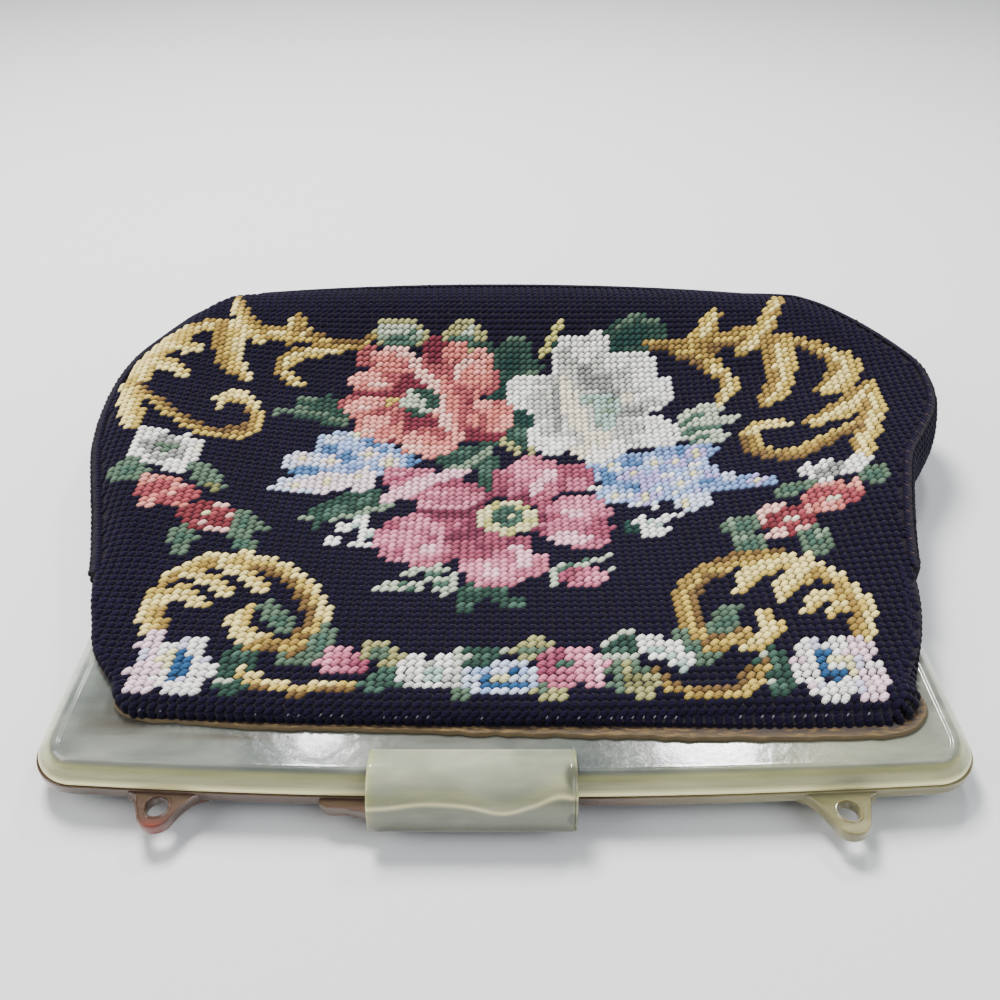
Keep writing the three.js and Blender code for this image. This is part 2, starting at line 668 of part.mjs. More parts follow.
// Glued edging: a flat strip that follows the hem.
function edging() {
  const rows = bodyOutline.filter((row) => row.y < HEM_INSET + HEM_CORNER + EDGING_ARM);
  const left = rows.map((row) => planPoint(row, -1)).reverse();
  const bar = steps(14, -1, 1).slice(1, -1).map((s) => planPoint(rows[0], s));
  const right = rows.map((row) => planPoint(row, 1));
  const line = [...left, ...bar, ...right];
  const low = faceHeight + GAP;
  const loops = line.map((point, i) => {
    const before = line[Math.max(i - 1, 0)];
    const after = line[Math.min(i + 1, line.length - 1)];
    const along = after.clone().sub(before).normalize();
    const out = new THREE.Vector2(along.y, -along.x);
    const up = (point.y - HEM_INSET) / (HEM_CORNER + EDGING_ARM);
    const shown = lerp(EDGING_WIDTH, EDGING_ARM_WIDTH, smoothstep(up, 0, 1));
    const outer = point.clone().addScaledVector(out, shown);
    const inner = point.clone().addScaledVector(out, -EDGING_UNDER);
    return [[outer, low], [inner, low], [inner, low + EDGING_THICK], [outer, low + EDGING_THICK]]
      .map(([plan, z]) => new THREE.Vector3(plan.x, plan.y, z));
  });
  const cap = [[0, 0], [1, 0], [1, 1], [0, 1]].map(([x, y]) => new THREE.Vector2(x, y));
  return loft(loops, cap);
}

// Assembly

const bag = new THREE.Group();

function addPiece(name, geometry, finish) {
  const mesh = new THREE.Mesh(geometry, new THREE.MeshStandardMaterial(finish));
  mesh.name = name;
  bag.add(mesh);
}

addPiece('frame_front', frontHalf(), CELLULOID);
addPiece('frame_back', backHalf(), CELLULOID);
addPiece('hinge_pin_left', hingePin(-1), STEEL);
addPiece('hinge_pin_right', hingePin(1), STEEL);
addPiece('clasp_cover', claspCover(), CELLULOID);
addPiece('clasp_pin', claspPin(), STEEL);
addPiece('edging', edging(), GLUED_PAPER);
addPiece('front_panel', frontPanel(), WOOL);
addPiece('gusset', gusset(), WOOL);
addPiece('back_panel', backPanel(), WOOL);

// The origin is the middle of the whole outline, on the surface.
const outline = new THREE.Box3().setFromObject(bag, true);
bag.position.set(-(outline.min.x + outline.max.x) / 2, -(outline.min.y + outline.max.y) / 2, 0);
bag.updateMatrixWorld(true);

export default bag;
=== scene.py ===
"""Needlepoint frame handbag, lying on its back: the finish of every piece.

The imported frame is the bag's construction. This script dresses it: celluloid for the frame and the
clasp, tent stitch for the cloth, and a plain stage. Lengths are in metres. Places on the bag are
first measured from the middle of the frame's rim, as x across, y towards the bottom of the bag and
z up from the surface. The stitch chart is counted in stitches.
"""

import math
from collections import namedtuple

import bmesh
import bpy
import numpy as np
from bpy.props import FloatProperty, FloatVectorProperty, PointerProperty
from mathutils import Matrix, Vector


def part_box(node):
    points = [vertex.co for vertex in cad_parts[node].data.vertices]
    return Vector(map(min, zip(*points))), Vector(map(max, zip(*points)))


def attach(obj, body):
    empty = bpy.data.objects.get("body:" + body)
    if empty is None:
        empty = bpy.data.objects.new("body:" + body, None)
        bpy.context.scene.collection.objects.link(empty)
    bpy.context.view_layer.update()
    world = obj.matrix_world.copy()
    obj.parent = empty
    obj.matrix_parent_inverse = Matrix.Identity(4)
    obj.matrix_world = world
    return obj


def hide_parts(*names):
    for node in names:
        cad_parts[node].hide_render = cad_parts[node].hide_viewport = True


bl_info = {
    "name": "Needlepoint frame handbag",
    "version": (1, 0, 0),
    "blender": (4, 5, 0),
    "location": "View3D > Sidebar > Handbag",
    "description": "Celluloid, tent stitch and glued edging for a frame handbag",
    "category": "Object",
}

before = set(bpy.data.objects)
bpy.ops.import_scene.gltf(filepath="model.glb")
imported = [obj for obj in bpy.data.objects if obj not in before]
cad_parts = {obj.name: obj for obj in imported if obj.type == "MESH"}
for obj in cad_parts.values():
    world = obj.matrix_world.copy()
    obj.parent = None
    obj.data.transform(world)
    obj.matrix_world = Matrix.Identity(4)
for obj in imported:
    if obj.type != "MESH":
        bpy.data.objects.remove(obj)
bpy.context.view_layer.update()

# Sizes

MM = 0.001
GAP = 0.3 * MM
CLOTH = 2.4 * MM
EDGING_THICK = 0.7 * MM

FRAME_LOW, FRAME_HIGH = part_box("frame_front")
FRAME_HALF = (FRAME_HIGH.x - FRAME_LOW.x) / 2
ORIGIN = np.array([(FRAME_HIGH.x + FRAME_LOW.x) / 2, FRAME_LOW.y, 0.0])
HALF_DEPTH = 6.6 * MM
PARTING = FRAME_HIGH.z - HALF_DEPTH
FACE = FRAME_HIGH.z
FRAME_BOW = 4.4 * MM
BAR_WIDTH = 24 * MM
RIM_CORNER = 12 * MM
INNER_CORNER = 8 * MM
ARM_REACH = 64 * MM
BEVEL_WIDTH = 5.9 * MM  # on the arms
BEVEL_BAR = 0.5  # its share of that along the bar
BEVEL_FULLNESS = 1.55  # how full the bevel's curve is; 1 is flat
RIDGE = 0.22 * MM  # the bevel's ridge above the face
RIDGE_TOP, RIDGE_FOOT, FACE_FROM = 0.5 * MM, 1.1 * MM, 3 * MM  # measured in from the bevel
FRONT_LAND = 1.3 * MM
BACK_LAND = 2.6 * MM
BACK_STEP = 0.8 * MM
HINGE_LUG_RADIUS = 4.8 * MM
HINGE_LUG_WIDTH = 7 * MM
HINGE_INSET = 1.5 * MM

EAR_THICK = 3.4 * MM
EAR_TOP = PARTING - 0.6 * MM
EAR_TIP_RADIUS = 4.6 * MM
EAR_ROOT_OUTER = 8.4 * MM
EAR_ROOT_INNER = 12 * MM
EAR_SHOULDER, EAR_SHOULDER_OUT, EAR_SLOPE = 0.7, 0.3, 0.62
EAR_TIP_FROM, EAR_TIP_TO = 168, 38
EAR_HOLE_RADIUS = 2.7 * MM
Ear = namedtuple("Ear", "side across reach hole")
EARS = [
    Ear(-1, 83.5 * MM, 10 * MM, 4 * MM),
    Ear(1, 82.2 * MM, 12 * MM, 5.2 * MM),
]
# Ridges and grooves of an ear, from its edge to its hole: how far in, and the height.
EAR_EDGE_PROFILE = [(0, -0.9), (0.1, -0.4), (0.35, -0.05), (0.65, 0.02), (0.9, -0.28)]
EAR_HOLE_PROFILE = [(0.85, -0.3), (0.55, 0), (0.3, 0.02), (0.08, -0.25), (0, -0.8)]

COVER_LEFT = -32.8 * MM
COVER_RIGHT = 17.2 * MM
COVER_WALL = 1.6 * MM
COVER_LIP = 7.4 * MM
COVER_CROWN = 0.75 * MM
COVER_SHOULDER = 2.2 * MM
COVER_FULLNESS = 2.3
COVER_LIP_CURVE = 1.7
COVER_LOWER_ANGLE = 225
COVER_LEFT_CUT, COVER_LEFT_ANGLE = 4.4 * MM, 183
COVER_RIGHT_CUT, COVER_RIGHT_ANGLE = 2 * MM, 200
COVER_EDGE = 0.6 * MM  # rounded ends of the cover
# The seam along the cover, painted as a bright highlight line: share of its length, and height in millimetres.
COVER_SEAM_HIGHLIGHT = [(0, 12.8), (0.1, 13.1), (0.27, 14), (0.47, 13.5), (0.64, 11.8), (0.78, 13.5), (0.9, 15.5), (1, 15.2)]
WEB_THICK = 2.4 * MM
WEB_INSET = 9 * MM
PIN_OUT = 3.2 * MM
PIN_UP = PARTING - 2.6 * MM
KNUCKLE_RADIUS = 1.8 * MM
LUG_UNDER = 1.2 * MM
LUG_LEAD = 12.2 * MM
LUG_SHORT = 2.6 * MM
LUG_STEP = 2.4 * MM
LUG_TUCK = 1.5 * MM

HEM_INSET = 16.2 * MM
HEM_CORNER = 8 * MM
HEM_PUFF = 1.2 * MM
HEM_PUFF_WIDTH = 11 * MM
HEM_EDGE, HEM_EDGE_DROP = 2 * MM, 0.8 * MM
HEM_SWING = 2.8 * MM  # the hem hangs out further at the right
HEM_TOP = FACE + GAP + EDGING_THICK + GAP + CLOTH
BODY_LENGTH = 203 * MM
BODY_HALF = 142 * MM
BODY_RISE = 24.4 * MM
FAR_BOW = 3 * MM
FAR_CORNER_ACROSS, FAR_CORNER_ALONG = 16 * MM, 14 * MM
FAR_CORNER_TURN = 80
SAG_POWER = 2.2
ROLL_WIDTH = 14 * MM
LEFT_ROLL, RIGHT_ROLL, FAR_ROLL, BACK_ROLL = 6 * MM, 1.2 * MM, 4 * MM, 3 * MM
LEFT_BULGE, RIGHT_BULGE, FAR_BULGE = 0.8 * MM, 2.2 * MM, 1.8 * MM
ARM_END = ARM_REACH + HINGE_LUG_RADIUS
GUSSET_START = ARM_END + 2.4 * MM
EDGING_WIDTH, EDGING_ARM_WIDTH = 4 * MM, 0.6 * MM
EDGING_UNDER, EDGING_ARM = 4 * MM, 22 * MM

# Rows of the hem's roll: share of the swing, push out and drop in millimetres, and tilt.
HEM_ROWS = [(0, -0.5, -0.1, 12), (0.45, 0, -0.6, 38), (0.8, 0.25, -1.3, 62), (1, 0.35, -2.2, 86)]

# Hem to far end: the way along, the seams at the left and right as shares of half the width, and
# the heights in the middle and at the sides as shares of the rise.
Section = namedtuple("Section", "along left right middle side")
SECTIONS = [
    Section(0.04, 0.7, 0.726, 0, 0),
    Section(0.1, 0.766, 0.777, 0.02, 0),
    Section(0.16, 0.798, 0.81, -0.02, 0),
    Section(0.22, 0.825, 0.831, -0.07, 0.03),
    Section(0.28, 0.842, 0.84, -0.12, 0.09),
    Section(0.34, 0.866, 0.856, -0.18, 0.18),
    Section(0.4, 0.89, 0.876, -0.22, 0.26),
    Section(0.46, 0.916, 0.9, -0.25, 0.32),
    Section(0.52, 0.942, 0.93, -0.245, 0.37),
    Section(0.58, 0.962, 0.984, -0.217, 0.42),
    Section(0.64, 0.972, 1.032, -0.15, 0.47),
    Section(0.7, 0.974, 1.05, -0.08, 0.53),
    Section(0.76, 0.966, 1.046, 0.045, 0.6),
    Section(0.82, 0.942, 1.002, 0.23, 0.68),
    Section(0.88, 0.892, 0.938, 0.55, 0.77),
    Section(0.93, 0.846, 0.87, 0.81, 0.84),
    Section(1, 0.785, 0.765, 1, 0.9),
]

CANVAS_DROP = 0.45 * MM  # canvas under the cloth's outer face
STITCH_RISE = 0.45 * MM  # wool above the cloth's outer face
LIFT = 0.06 * MM  # keeps the uneven stitches of the back off the surface

CHART_REACH = 62  # stitches to each side of the middle
SEAM_MARGIN = 0.35  # the share of a stitch that is kept clear of a seam
GUSSET_STEPS = 200  # steps up the gusset, between which its stitches are placed
RIDGE_FINER = 1.7  # stitches of the whipped seam to one of the canvas
THREAD_FROM, THREAD_EVERY = 0.63, 4  # where on the seam the rust thread shows, and how often
MACHINE_STEP = 2.65 * MM
UP = np.array([0.0, 0.0, 1.0])

# Wools, by the dyer's shades

WOOLS = {
    "ground": "#110b23",
    "burgundy": "#6d2a38",
    "coral_deep": "#9a4b50",
    "coral": "#cf766d",
    "coral_light": "#e8978c",
    "coral_pale": "#f8bfb2",
    "white": "#f6f4f0",
    "pearl": "#bfbfb8",
    "grey": "#8b8d89",
    "cream": "#e9e2c9",
    "rose_deep": "#6f3246",
    "rose_dark": "#96495f",
    "rose": "#bb6a80",
    "rose_light": "#dc8aa0",
    "rose_pale": "#f4bccb",
    "pink_white": "#ecd9e2",
    "blue_deep": "#2a5079",
    "blue_dark": "#4d719e",
    "blue": "#7792c2",
    "blue_light": "#9bb3e2",
    "blue_pale": "#cdd8ee",
    "lilac": "#b0a5dc",
    "straw": "#e2dca4",
    "teal": "#1f3a35",
    "green_dark": "#2c443b",
    "green": "#435f52",
    "sage_dark": "#556a58",
    "sage": "#7c917a",
    "sage_light": "#b6c1ab",
    "olive": "#73734a",
    "olive_light": "#a19e6a",
    "yellow_green": "#bfba6d",
    "gold_pale": "#f0db8c",
    "gold": "#c4a853",
    "ochre": "#977b3e",
    "brown": "#6e5533",
    "red_deep": "#763139",
    "red": "#9b474e",
    "seafoam": "#a3bfb4",
    "rose_mist": "#ecccd8",
    "lilac_mist": "#cdcbe4",
}
SHADES = {
    "coral": ["coral_deep", "coral", "coral", "coral", "coral_light"],
    "white": ["pearl", "pearl", "white", "white", "white"],
    "rose": ["rose_deep", "rose_dark", "rose", "rose", "rose_light", "rose"],
    "gilt": ["gold_pale", "gold", "ochre"],
    "gilt_back": ["gold", "gold_pale", "ochre"],
    "gilt_low": ["gold_pale", "gold", "brown"],
    "bright": ["gold", "gold_pale", "gold_pale"],
    "bronze": ["ochre", "gold", "brown"],
    "bronze_back": ["brown", "ochre", "gold"],
}

GROUND = list(WOOLS).index("ground")

# The chart. x counts stitches from the middle and y from the hem; turn is in degrees, 0 to the
# right and 90 towards the far end. Motifs are drawn in this order, each over the last.

Dab = namedtuple("Dab", "wool x y across along turn", defaults=(0,))  # an ellipse
Petal = namedtuple("Petal", "wools x y reach wide turn")  # an ellipse shaded from base to tip
Line = namedtuple("Line", "wools points")  # a stroke; its wools run from its left side to its right


def dabs(wool, *rows):
    return [Dab(wool, *row) for row in rows]


def petals(wools, *rows):
    return [Petal(SHADES[wools], *row) for row in rows]


def lines(wools, *rows):
    """Strokes of (x, y, width) points."""
    return [Line(SHADES.get(wools) or [wools], row) for row in rows]


LEAVES = [
    # above the coral rose
    *dabs("olive_light", (-16, 74.2, 4.5, 2.8), (-6, 73.8, 3.2, 2.9), (-18.5, 76.4, 0.9, 0.7)),
    *dabs("sage_light", (-16.2, 74.6, 3.5, 1.9), (-5.4, 74.6, 1.3, 0.8, 30), (-6.4, 72.6, 0.7, 0.6)),
    *dabs("green", (-15.8, 73, 2.7, 1.3), (-14, 74.6, 0.7, 0.6), (-6.6, 73.2, 1.7, 1.1), (-4.6, 72.6, 0.9, 0.9)),
    *dabs("sage", (-18.6, 73.6, 0.8, 0.9), (-13.4, 73.4, 0.8, 0.6)),
    # between the roses
    *dabs("green_dark", (2.2, 71, 2.8, 3), (-2.7, 71.4, 2.2, 1.4), (0.6, 66.6, 3, 4.8), (4.8, 68.6, 1.3, 1.8)),
    *dabs("teal", (0, 62.4, 2.2, 3.6), (2.6, 57.4, 1.8, 3), (1.2, 69.4, 1.4, 2), (7.9, 72.2, 0.7, 1.8)),
    *dabs("sage_dark", (2, 73.6, 1.8, 0.7), (4.6, 67, 1, 0.8), (-3.4, 71.8, 0.9, 0.6)),
    *lines("yellow_green", [(5.8, 70.2, 1.3), (7.2, 73, 1.7), (9.2, 76.8, 1.1)]),
    # right of the white rose
    *dabs("green_dark", (20.6, 74.2, 4.7, 3.5, 8), (17.6, 72.4, 1.5, 1.9)),
    *dabs("teal", (20, 73.2, 2.8, 1.5), (17.4, 71.8, 0.9, 1.3), (21.6, 75.2, 1.2, 0.8)),
    *lines("sage_dark", [(17.8, 75.8, 0.9), (20.4, 77.1, 1), (23.8, 76.6, 0.9)]),
    *dabs("sage_light", (28.6, 57.4, 3.8, 1.9, 28), (31, 55.6, 4.2, 1.2, 18), (28.6, 52.9, 3.8, 1.7, -14)),
    *lines(
        "green", [(25.4, 54.8, 1), (27.4, 56.8, 1), (29.6, 58.2, 0.9)],
        [(25.6, 53.2, 1.2), (28, 54.7, 1.3), (31, 54.5, 0.9)], [(26.8, 51.6, 0.8), (29.2, 53, 0.9)]
    ),
    # left of the coral rose
    *dabs("green_dark", (-26.6, 58.6, 4.4, 2.9, 8), (-24.4, 56.2, 2, 1.4)),
    *lines(
        "sage_dark", [(-33.4, 57, 1.4), (-30, 57.8, 1.6), (-26, 57.2, 1.2), (-22.8, 55.8, 1.2)],
        [(-30.4, 60, 1), (-27.6, 60.8, 1)]
    ),
    # under the roses
    *dabs(
        "green_dark", (-5.6, 49.4, 3.9, 2.7, 22), (-2.2, 46.2, 1.7, 4.8), (2.2, 53.8, 2.2, 2.8),
        (-2, 52.8, 1.4, 1.2)
    ),
    *dabs("green", (-5.8, 50.6, 2, 0.8, 20), (2.6, 55, 0.9, 0.9), (-2.4, 47, 0.7, 2)),
    *lines("sage", [(-7.6, 46.8, 1), (-4.2, 48.6, 1.1), (-2.2, 51, 1.3)]),
    *lines("olive_light", [(-1.8, 54.2, 0.9), (0.4, 52.6, 1), (2, 51, 1.1)], [(4.6, 51.6, 1), (3, 49, 1.2)]),
    # left of the dog rose
    *dabs("green_dark", (-20.6, 38.2, 5.6, 2.4, 38), (-24, 33.6, 1, 1.2)),
    *dabs("green", (-22, 36.6, 2.4, 1, 38), (-18.6, 39.6, 1.6, 0.8, 38)),
    *lines(
        "sage", [(-21.8, 34.8, 1), (-18.4, 36.6, 1.2), (-15.4, 38.4, 1.1)],
        [(-26.6, 33.8, 0.9), (-25, 34.6, 0.9)]
    ),
    *dabs(
        "white", (-18.2, 34.4, 1, 1.2), (-20.8, 32.9, 1.3, 1), (-17.6, 32.2, 0.9, 1.6), (-21.4, 30.2, 1.4, 1),
        (-17.9, 29.7, 1.2, 1.1)
    ),
    *dabs("seafoam", (-18.8, 35.4, 0.7, 0.7), (-19.2, 33.8, 0.6, 0.7), (-16.8, 31.6, 0.8, 0.7)),
    # below the dog rose
    *lines(
        "sage_light", [(-15.2, 20.4, 1.2), (-12.4, 21.1, 2.2), (-10.4, 20.6, 2)],
        [(-11.6, 23.8, 1.2), (-9.6, 24.9, 1.5), (-6.8, 24.7, 1.2)]
    ),
    *dabs("sage_light", (-8.4, 22.6, 1.4, 1.2), (-7, 21, 1.9, 1.6), (-6, 23, 0.8, 1)),
    *dabs("green", (-12.2, 21.3, 0.8, 0.6), (-7.6, 21.7, 0.9, 0.6), (-8.2, 23.7, 1.2, 0.6), (-10.8, 20.2, 0.6, 0.5)),
    *dabs("green_dark", (-4, 19.4, 1.9, 2.4, -15), (-4.2, 17, 1, 1.2), (-0.6, 20.2, 1.6, 2), (1.2, 18, 1.4, 1.5)),
    *dabs("green", (-3.6, 20.4, 0.9, 0.9), (-4.6, 17.8, 0.8, 0.7), (0, 20.6, 0.8, 0.9), (1.4, 17.6, 0.9, 0.7)),
    *lines(
        "sage_light", [(5.6, 21.4, 1), (6.2, 24, 1.1), (7.2, 25.8, 1)],
        [(9.4, 25.4, 1), (11.6, 26.4, 1), (13.4, 27.3, 1)], [(12.4, 24, 1), (13.2, 24.8, 0.9)]
    ),
    *dabs("green", (7.6, 24.6, 0.8, 1.2), (10, 26.2, 0.8, 0.6)),
    *dabs("teal", (16.4, 33.2, 0.9, 1.6)),
    # beside the flowers at the left and right
    *dabs(
        "sage_dark", (-49.6, 40.4, 2.7, 2.5, 20), (-39.5, 41.2, 3.6, 1.7, -52), (-33.2, 32.8, 1.8, 2.1),
        (-31, 31.9, 1.8, 0.8, -12), (-32.4, 28.8, 3, 1.4, -62), (-39.8, 28.7, 1.9, 2.3), (-39.6, 26.3, 1, 1.2)
    ),
    *dabs("green", (-49.4, 40, 1.3, 1.1), (-33, 32.4, 0.9, 1.2), (-32.6, 28.2, 0.7, 1.4), (-39.8, 28.4, 0.9, 1.1)),
    *dabs("olive", (-38.2, 39.4, 1, 1)),
    *dabs(
        "sage_dark", (38.4, 38.8, 3, 1.2, 18), (48.6, 39, 2, 2.2, -20), (30.2, 32.2, 2.9, 2, 12),
        (30.4, 28.4, 2.1, 2.2, 30), (38.4, 27.8, 2, 2.9)
    ),
    *dabs(
        "green", (30.6, 32, 1.5, 0.9), (30.6, 28, 1, 1), (38.2, 28.2, 0.9, 1.6), (48.6, 39, 0.9, 1.2),
        (38, 38.6, 1.4, 0.6, 18)
    ),
    *dabs("sage", (29, 33, 0.8, 0.6), (39.4, 29.2, 0.7, 0.9), (29.4, 29.6, 0.7, 0.7)),
    # in and beside the lower rings
    *dabs(
        "sage_dark", (-25.8, 14.8, 3.4, 1.6, -55), (-20.2, 11.4, 1.5, 2.8), (-22, 8, 2.6, 1.5),
        (24.8, 14.2, 3.6, 1.5, 58), (20, 11.4, 1.4, 2.2), (20.6, 8.4, 2.7, 1.7)
    ),
    *dabs(
        "green", (-25.2, 13.8, 1.6, 0.8, -55), (-20, 10.4, 0.8, 1.4), (25, 14, 1.8, 0.7, 58),
        (20.4, 9.2, 1.2, 0.8)
    ),
    *dabs("green_dark", (-28.5, 6.8, 2.1, 3.2), (-28.6, 3.4, 2, 1), (28.8, 6, 2.1, 3.9)),
    *dabs("green", (-28.4, 8.4, 1.2, 0.9), (29, 7.6, 1, 1.4), (28.6, 3.6, 0.9, 0.9)),
    *dabs(
        "sage_light", (-27.2, 5.2, 1.2, 0.7), (-29.4, 4.4, 0.7, 0.6), (27.2, 4.4, 1, 0.8), (27.6, 9, 0.9, 0.6),
        (-25.8, 3.6, 0.8, 0.5)
    ),
]

SCROLLS = [
    # upper left
    *lines("bronze", [(-20.4, 73.4, 1.4), (-22.6, 71.9, 1.8), (-26, 71.7, 2), (-29, 73, 2.2), (-31.2, 74.4, 2.4)]),
    *lines(
        "gilt_back", [(-30.6, 73.4, 2.6), (-34.4, 73.6, 3), (-38, 73, 3), (-41.4, 74.2, 2.8)],
        [(-41.4, 74.3, 2.6), (-45.4, 74.4, 2.6), (-48.6, 73, 2.6)]
    ),
    *lines(
        "gilt", [(-37, 72.4, 2.6), (-39.3, 75, 2.7), (-41.2, 78.6, 2.6), (-42.3, 82, 1.4)],
        [(-33.2, 71.8, 1.6), (-32.6, 74.6, 2.4), (-32.2, 77.2, 1.5)]
    ),
    *lines("bronze", [(-31.4, 76.2, 1), (-29.6, 73.6, 1.8)], [(-45.8, 75.4, 1.2), (-42, 75.3, 1.2)]),
    *lines(
        "gilt_back",
        [
            (-25.4, 70.6, 1.6), (-29, 70.4, 2.6), (-32, 69, 2.5), (-33.6, 66.8, 2.5), (-32.2, 64.6, 2.5),
            (-30.6, 63.4, 1.3)
        ]
    ),
    *lines("gilt", [(-42, 74, 5), (-41.8, 70, 4.7), (-40.8, 66.5, 3.7), (-38.4, 63.8, 1.7)]),
    *lines(
        "bright",
        [
            (-48.8, 73.4, 2.4), (-50.4, 70.6, 5), (-52.6, 66.6, 4.6), (-53.8, 62, 4.4), (-54, 58, 3.8),
            (-52.8, 53.6, 3.4), (-51.6, 50, 2.4)
        ]
    ),
    *lines(
        "bright", [(-50.4, 69.4, 3.2), (-47.8, 68.8, 2.6), (-45.9, 69.5, 1.4)],
        [(-52, 65.6, 3.2), (-49.4, 64.2, 2.6), (-46.5, 62, 1.3)]
    ),
    *dabs("gold", (-54.6, 60.6, 0.9, 1.6), (-49.6, 71.6, 0.9, 1.2), (-51.4, 52.6, 0.7, 1.6)),
    *lines(
        "bronze_back",
        [(-53, 58.8, 1.8), (-49.8, 56, 2), (-46.4, 53.4, 2), (-42, 51.2, 2.2), (-38.4, 50.9, 2.8)],
        [(-39, 51, 2.8), (-36.2, 52.4, 3), (-35.7, 55.4, 2.4), (-36.8, 57.8, 1.8)]
    ),
    *lines("bright", [(-35.4, 56, 1), (-36.6, 58, 1.6), (-38.6, 59.4, 2.8), (-40.9, 58.6, 2.4), (-41, 57, 1.4)]),
    # upper right
    *lines(
        "bronze",
        [(22.4, 72.4, 1.6), (25.6, 71.9, 2), (29, 71.8, 3.6), (33, 72.2, 3.6), (36.4, 73.2, 2.8), (39.6, 74.2, 2)]
    ),
    *lines("gilt_back", [(30.2, 73, 3.6), (32, 75.4, 3), (33.4, 78, 1.4)]),
    *lines(
        "gilt_back",
        [(36.6, 70.2, 2.4), (39.4, 72.4, 3.2), (41.2, 76.2, 2.8), (42.8, 80, 2.2), (43.5, 82.2, 1.2)]
    ),
    *lines("bronze", [(40.6, 71.6, 2.2), (44.8, 71.3, 2.2), (48, 69, 2.6), (49.4, 66.6, 2.4)]),
    *lines("bronze", [(26.6, 70.8, 2.4), (30, 69.4, 3.2), (32.6, 66.6, 3.2)]),
    *lines(
        "gilt_back", [(31.8, 67.4, 2.8), (33.6, 64.8, 3), (33.5, 62.2, 2.6), (32, 59.7, 1.5)],
        [(42.2, 70.6, 5), (41.9, 66, 4.7), (40.8, 62, 4), (38.4, 58.8, 2.3)]
    ),
    *lines(
        "gilt_back", [(49.3, 68.4, 1.8), (50.7, 65.4, 4.6), (49.8, 62, 5), (47, 60.4, 2.6)],
        [(53.5, 60.2, 1.6), (51.6, 57.6, 4.6), (48, 55, 3.7), (44, 53.2, 2.2)]
    ),
    *lines("gilt_back", [(53.4, 58, 2.4), (52.8, 54.6, 3.2), (51, 50.6, 3.6), (49.4, 47, 3.3), (48.6, 44.6, 2.6)]),
    *lines(
        "bronze_back",
        [(49.8, 51.2, 2), (46, 49.4, 2.3), (42, 47.1, 2.7), (38, 46.9, 2.9), (35.2, 49, 3.1), (34.8, 51.6, 2.8)]
    ),
    *lines("bright", [(34.6, 52.6, 1.8), (36.6, 53.8, 2), (38.8, 54.2, 1.8), (41.2, 53.8, 1)]),
    # lower left
    *lines(
        "gilt", [(-38.8, 12, 2.6), (-39.9, 14.8, 3), (-39.6, 17.6, 3.2)],
        [(-39.9, 20, 1.6), (-38.6, 22, 2.6), (-35.2, 24.4, 3), (-31.4, 25.2, 3)]
    ),
    *lines(
        "gilt_low",
        [(-32, 25.2, 3), (-27.6, 24, 3), (-24, 20.8, 3), (-21.6, 17, 3), (-21.5, 13.4, 2.8), (-22.6, 11.4, 1.8)]
    ),
    *lines(
        "bright", [(-33, 24, 2.3), (-30.6, 22, 2.3), (-28, 19.7, 1.5)],
        [(-37.4, 22, 2.3), (-34.6, 20.8, 2.3), (-32.2, 18.6, 1.5)],
        [(-40, 17.6, 3), (-37.2, 18.3, 2.7), (-34.8, 16.9, 1.8)]
    ),
    *lines("bright", [(-29.4, 16, 1.4), (-30, 13.6, 2.5), (-28.4, 11.6, 2.9), (-25.8, 10.6, 2.4)]),
    *lines("bronze", [(-27.4, 9.6, 1.8), (-25, 10.2, 2.2), (-22.8, 9.6, 2.6), (-22.2, 11, 2)]),
    # lower right
    *lines("bronze", [(22, 11.2, 2.2), (20.9, 14.4, 2.9), (21, 18.6, 3.1), (23.4, 22.2, 3), (27, 24.7, 2.8)]),
    *lines("bronze_back", [(26.4, 24.6, 2.8), (31, 26, 2.6), (34.8, 25.6, 1.8)]),
    *lines(
        "bright", [(34.8, 24.9, 1.9), (31.6, 23.6, 2.5), (29, 22, 2.6), (27.6, 19.4, 1.6)],
        [(37.2, 24.8, 1.6), (36, 22.4, 3), (33.4, 20.4, 2.6), (31.8, 17.4, 1.5)],
        [(40.2, 18.6, 1.8), (37.6, 18, 2.2), (35.4, 16.8, 2.1), (34.4, 15.1, 1.3)]
    ),
    *lines("gilt", [(37.2, 22.8, 2.4), (39.4, 20.4, 2.7), (40.7, 17, 2.8), (40.4, 13.6, 2.9), (39.3, 10.6, 2.5)]),
    *lines(
        "bright", [(38.4, 16, 1.6), (36.8, 15, 1.2)],
        [(29.4, 15.2, 1.5), (30, 12.8, 2.5), (28, 10.8, 2.5), (26, 9.6, 2)]
    ),
    *lines("bronze", [(27, 12.2, 1.7), (24.6, 10.8, 2.6), (22.4, 9.6, 2.2)]),
    # lines under the garland
    *lines("gilt_low", [(-28.4, 6, 1.4), (-26.4, 4.7, 2.1), (-22, 3.4, 2), (-17, 4.2, 2), (-14.4, 4.8, 1.4)]),
    *lines(
        "bronze_back",
        [(15, 6.8, 1.2), (17.4, 4.3, 2), (20, 3, 2), (23.6, 2.9, 2), (25.8, 4.8, 2.4), (27.8, 7, 1.8)]
    ),
]

